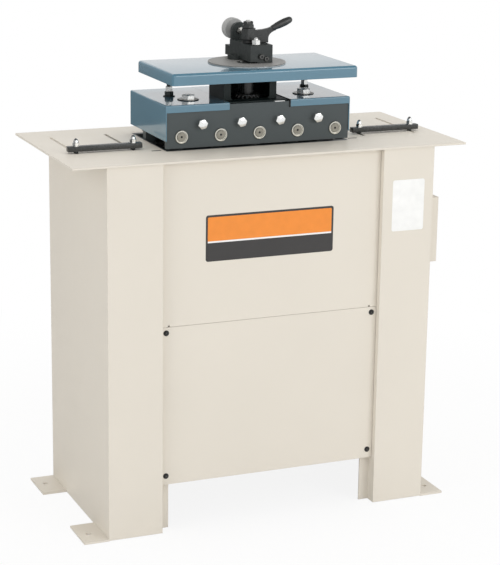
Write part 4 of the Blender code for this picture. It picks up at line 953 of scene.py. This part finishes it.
def castle_nut():
    """The clamp's castellated nut, and the stud's bright end in it."""
    name = "clamp_nut"
    low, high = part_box(name)
    crown_height, crown_radius, chamfer_radius, chamfer = 7 * MM, 11.8 * MM, 11 * MM, 0.8 * MM
    well_radius, well_depth = 8.2 * MM, 3 * MM
    slot_length, slot_width, slot_depth, slots = 30 * MM, 3.6 * MM, 4.5 * MM, 3
    hex_height, hex_half, hex_turn = 9 * MM, 13 * MM, 0.2
    stud_proud, stud_radius, stud_end = 1 * MM, 5.9 * MM, 2.5 * MM
    top = hex_height + crown_height
    bottom = high.z - stud_proud - top
    place = spot(low, high, z=bottom)
    profile = [(0, top - well_depth), (well_radius, top - well_depth), (well_radius, top)]
    profile += [(chamfer_radius, top), (crown_radius, top - chamfer)]
    profile += [(crown_radius, hex_height / 2), (0, hex_height / 2)]
    crown = turned_piece("clamp_nut_crown", profile, "burnished", place)
    for k in range(slots):
        bm = bmesh.new()
        block(bm, (slot_length, slot_width, 2 * slot_depth))
        turn = Matrix.Translation((0, 0, top)) @ Matrix.Rotation(math.pi * k / slots, 4, "Z")
        cut(crown, mesh_object("slot", bm, "oxide", place @ turn))
    carried(crown, name, name, name)
    bm = bmesh.new()
    hex_head(bm, hex_half, 0, hex_height, hex_turn, BOTH_FACES)
    carried(mesh_object("clamp_nut_hex", bm, "burnished", place), name, name)
    profile = threaded(stud_radius, high.z + stud_end - bottom, low.z - bottom)
    carried(turned_piece("clamp_nut_stud", profile, "plated", place, sides=32), name, name)


def eased(share):
    """A share kept between 0 and 1, with a soft start and end."""
    kept = min(1, max(0, share))
    return kept * kept * (3 - 2 * kept)


def lever():
    """The clamp lever as one casting, with a hexagonal hub, a stout handle and a black collar,
    whose black also paints the shade under the hub.
    """
    name = "clamp_lever"
    grain, melt, melts = 0.8 * MM, 0.5, 3
    casting = dressed_copy("clamp_lever_casting", name, "burnished")
    applied(
        casting,
        ("REMESH", {"mode": "VOXEL", "voxel_size": grain, "use_smooth_shade": True}),
        ("SMOOTH", {"factor": melt, "iterations": melts}),
    )
    axis = spot(*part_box("clamp_nut")).translation
    hub_half, hub_low, hub_high, web_half = 15.7 * MM, 1156 * MM, 1185 * MM, 5.5 * MM
    hub_turn, sixth = math.radians(6), math.pi / 3
    root = Vector((76.6 * MM, axis.y, 1181.5 * MM))
    tip = Vector((121.6 * MM, axis.y, 1200 * MM))
    way, length = (tip - root).normalized(), (tip - root).length
    swell, swell_over, end_from, end_over = 0.28, 0.45, 0.7, 0.4
    collar_top, collar_radius = 1159 * MM, 20 * MM
    for vertex in casting.data.vertices:
        place = vertex.co
        out = (place - axis).xy
        on_web = place.x > axis.x and abs(out.y) < web_half
        on_hub = hub_low < place.z < hub_high and out.length > hub_half
        if on_hub and not on_web and place.x < root.x - hub_half:
            angle = math.atan2(out.y, out.x) - hub_turn
            reach = hub_half / math.cos(angle % sixth - sixth / 2)
            out = out * min(1, reach / out.length)
            vertex.co = (axis.x + out.x, axis.y + out.y, place.z)
        far = (place - root).dot(way)
        if far > 0:
            centre = root + way * far
            share = far / length
            fading = 1 - eased((share - end_from) / end_over)
            size = 1 + swell * eased(share / swell_over) * fading
            vertex.co = centre + (place - centre) * size
    # Faces below the hub turn black: a dark collar, and painted shade under the hub
    casting.data.materials.append(MATERIALS["black"])
    for face in casting.data.polygons:
        out = (face.center - axis).xy.length
        if face.center.z < collar_top and out < collar_radius:
            face.material_index = 1
    carried(casting, name, name, name)


def wheel():
    """The knurled wheel with its hub, on an axle with a nut in front of the ear."""
    name = "adjusting_wheel"
    low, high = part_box(name)
    width, chamfer, knurl, count = 24 * MM, 2 * MM, 0.5 * MM, 144
    hub_radius, hub_length, overlap = 11 * MM, 21.7 * MM, 1 * MM
    axle_radius, axle_inset = 5.9 * MM, 2 * MM
    nut_half, nut_from_end, nut_height, nut_turn = 7.4 * MM, 7.3 * MM, 6 * MM, 0.2
    thread_radius, thread_length = 4.6 * MM, 4 * MM
    radius = (high.x - low.x) / 2
    length = high.y - low.y
    place = spot(low, high, y=high.y) @ AXES["-Y"]
    turns = [2 * math.pi * k / count for k in range(count)]
    bm = bmesh.new()
    rings = []
    levels = [(radius - chamfer, 0, 0), (radius, chamfer, knurl)]
    levels += [(radius, width - chamfer, knurl), (radius - chamfer, width, 0)]
    for reach, level, depth in levels:
        radii = [reach - depth * (k % 2) for k in range(count)]
        rings.append(around(bm, turns, radii, [level] * count))
    skinned(bm, rings)
    carried(mesh_object("wheel_rim", bm, "knob", place, KNURL_SHARP), name, name, name)
    hub = [(0, length - axle_inset), (axle_radius, length - axle_inset)]
    hub += [(axle_radius, width + hub_length), (hub_radius, width + hub_length)]
    hub += [(hub_radius, width - overlap), (0, width - overlap)]
    carried(turned_piece("wheel_hub", hub, "steel", place, sides=40), name, name)
    bm = bmesh.new()
    hex_head(bm, nut_half, length - nut_from_end, nut_height, nut_turn)
    turned(bm, threaded(thread_radius, length, length - thread_length), sides=24)
    carried(mesh_object("wheel_nut", bm, "steel", place), name, name)


# The photograph's setting
def camera():
    yaw = Matrix.Rotation(math.radians(camera_yaw), 3, "Z")
    pitch = math.radians(camera_pitch)
    roll = math.radians(camera_roll)
    forward = yaw @ Vector((0, math.cos(pitch), math.sin(pitch)))
    level = yaw @ Vector((1, 0, 0))
    upright = level.cross(forward)
    right = math.cos(roll) * level + math.sin(roll) * upright
    up = math.cos(roll) * upright - math.sin(roll) * level
    lens = bpy.data.cameras.new("camera")
    # The sensor spans the image's width, although the image is higher than it is wide
    lens.sensor_width = sensor_width
    lens.sensor_fit = "HORIZONTAL"
    lens.lens = focal_length / image_width * sensor_width
    lens.shift_x = (image_width / 2 - image_centre_x) / image_width
    lens.shift_y = (image_centre_y - image_height / 2) / image_width
    lens.clip_end = view_reach
    made = linked("camera", lens)
    turn = Matrix((right, up, -forward)).transposed().to_4x4()
    made.matrix_world = Matrix.Translation(camera_place) @ turn
    bpy.context.scene.camera = made


def lamps():
    """Three soft lamps, which reflections don't show."""
    for name, place, size, power in LAMPS:
        lamp = bpy.data.lights.new(name, "AREA")
        lamp.shape = "RECTANGLE"
        lamp.size, lamp.size_y = size
        lamp.energy = power
        made = linked(name, lamp)
        made.location = place
        made.visible_glossy = False
        aim = Vector(LAMP_TARGET) - Vector(place)
        made.rotation_euler = aim.to_track_quat("-Z", "Y").to_euler()


def calculate(tree, operation, first, second, clamped=True):
    """A sum, difference or product of two values, either of which may be a number."""
    inputs = {0: first, 1: second}
    return new_node(tree, "Math", inputs, operation=operation, use_clamp=clamped).outputs[0]


def mixed(tree, factor, first, second):
    return new_node(tree, "MixShader", {"Fac": factor, 1: first, 2: second}).outputs[0]


def reflected_rays(tree, path):
    rays = (path.outputs["Is Glossy Ray"], path.outputs["Is Transmission Ray"])
    return calculate(tree, "ADD", *rays)


def background(tree, strength):
    inputs = {"Color": (*BACKGROUND_WHITE, 1), "Strength": strength}
    return new_node(tree, "Background", inputs).outputs[0]


def along(tree, place, direction):
    """How far the way that is looked in goes in a direction, from -1 to 1."""
    inputs = {0: place.outputs["Generated"], 1: direction}
    return new_node(tree, "VectorMath", inputs, operation="DOT_PRODUCT").outputs["Value"]


def world():
    """White all round to the camera. In reflections it is white too, but for a dark ceiling, a
    dark screen on the left, a darker ground behind and a bright window in front. As a light it
    is a plain level."""
    made = bpy.data.worlds.new("studio")
    bpy.context.scene.world = made
    made.use_nodes = True
    tree = made.node_tree
    tree.nodes.clear()
    path = new_node(tree, "LightPath", {})
    place = new_node(tree, "TexCoord", {})
    part = new_node(tree, "SeparateXYZ", {0: place.outputs["Generated"]})
    screen = between(tree, along(tree, place, SCREEN_SIDE), *SCREEN_EDGE, 1, SCREEN_DARK)
    ceiling = between(tree, part.outputs["Z"], *CEILING_EDGE, 1, CEILING_DARK)
    behind = between(tree, part.outputs["Y"], *BEHIND_EDGE, 0, 1 - BEHIND_DARK)
    below = between(tree, part.outputs["Z"], *BELOW_EDGE, 1, HORIZON_SHARE)
    ground = calculate(tree, "SUBTRACT", 1, calculate(tree, "MULTIPLY", behind, below))
    sides = calculate(tree, "MULTIPLY", screen, ceiling)
    plain = calculate(tree, "MULTIPLY", sides, ground)
    window = between(tree, along(tree, place, WINDOW_SIDE), *WINDOW_EDGE, 0, WINDOW_BRIGHT)
    reflection = background(tree, calculate(tree, "ADD", plain, window, clamped=False))
    light = mixed(tree, reflected_rays(tree, path), background(tree, AMBIENT), reflection)
    seen = mixed(tree, path.outputs["Is Camera Ray"], light, background(tree, 1))
    new_node(tree, "OutputWorld", {"Surface": seen})


def floor():
    """A white floor that keeps the machine's soft shadow and melts into the background. In
    reflections the studio shows in its place."""
    near, far, reach, share_near = 0.7, 1.8, 30, 0.88
    dullness, sheen = 0.9, 0.1
    made, tree, shader = new_material("floor_white")
    shader.inputs["Base Color"].default_value = (*FLOOR_WHITE, 1)
    shader.inputs["Roughness"].default_value = dullness
    shader.inputs["Specular IOR Level"].default_value = sheen
    path = new_node(tree, "LightPath", {})
    place = new_node(tree, "TexCoord", {})
    length = new_node(tree, "VectorMath", {0: place.outputs["Object"]}, operation="LENGTH")
    fade = between(tree, length.outputs["Value"], near, far, share_near, 1)
    share = calculate(tree, "MULTIPLY", fade, path.outputs["Is Camera Ray"])
    glow = new_node(tree, "Emission", {})
    clear = new_node(tree, "BsdfTransparent", {})
    seen = mixed(tree, share, shader.outputs[0], glow.outputs[0])
    surface = mixed(tree, reflected_rays(tree, path), seen, clear.outputs[0])
    tree.links.new(surface, tree.nodes["Material Output"].inputs["Surface"])
    bm = bmesh.new()
    bmesh.ops.create_circle(bm, cap_ends=True, radius=reach, segments=64)
    mesh = bpy.data.meshes.new("floor")
    bm.to_mesh(mesh)
    bm.free()
    mesh.materials.append(made)
    plane = linked("floor", mesh)
    plane.location.z = -GAP


camera()
dress_nodes()
panel_screws()
switch_details()
buttons()
badge()
rating_plate()
bushings()
shaft_faces()
guide_bar("left", -439 * MM, -298 * MM)
guide_bar("right", 305 * MM, 446 * MM)
head_screws()
tray()
disc()
crown_teeth()
head_edges()
slot_shade_plates()
tie_bolts()
tray_studs()
cover_nuts()
acorn()
castle_nut()
lever()
wheel()
world()
lamps()
floor()
bpy.context.scene.view_settings.view_transform = "Standard"
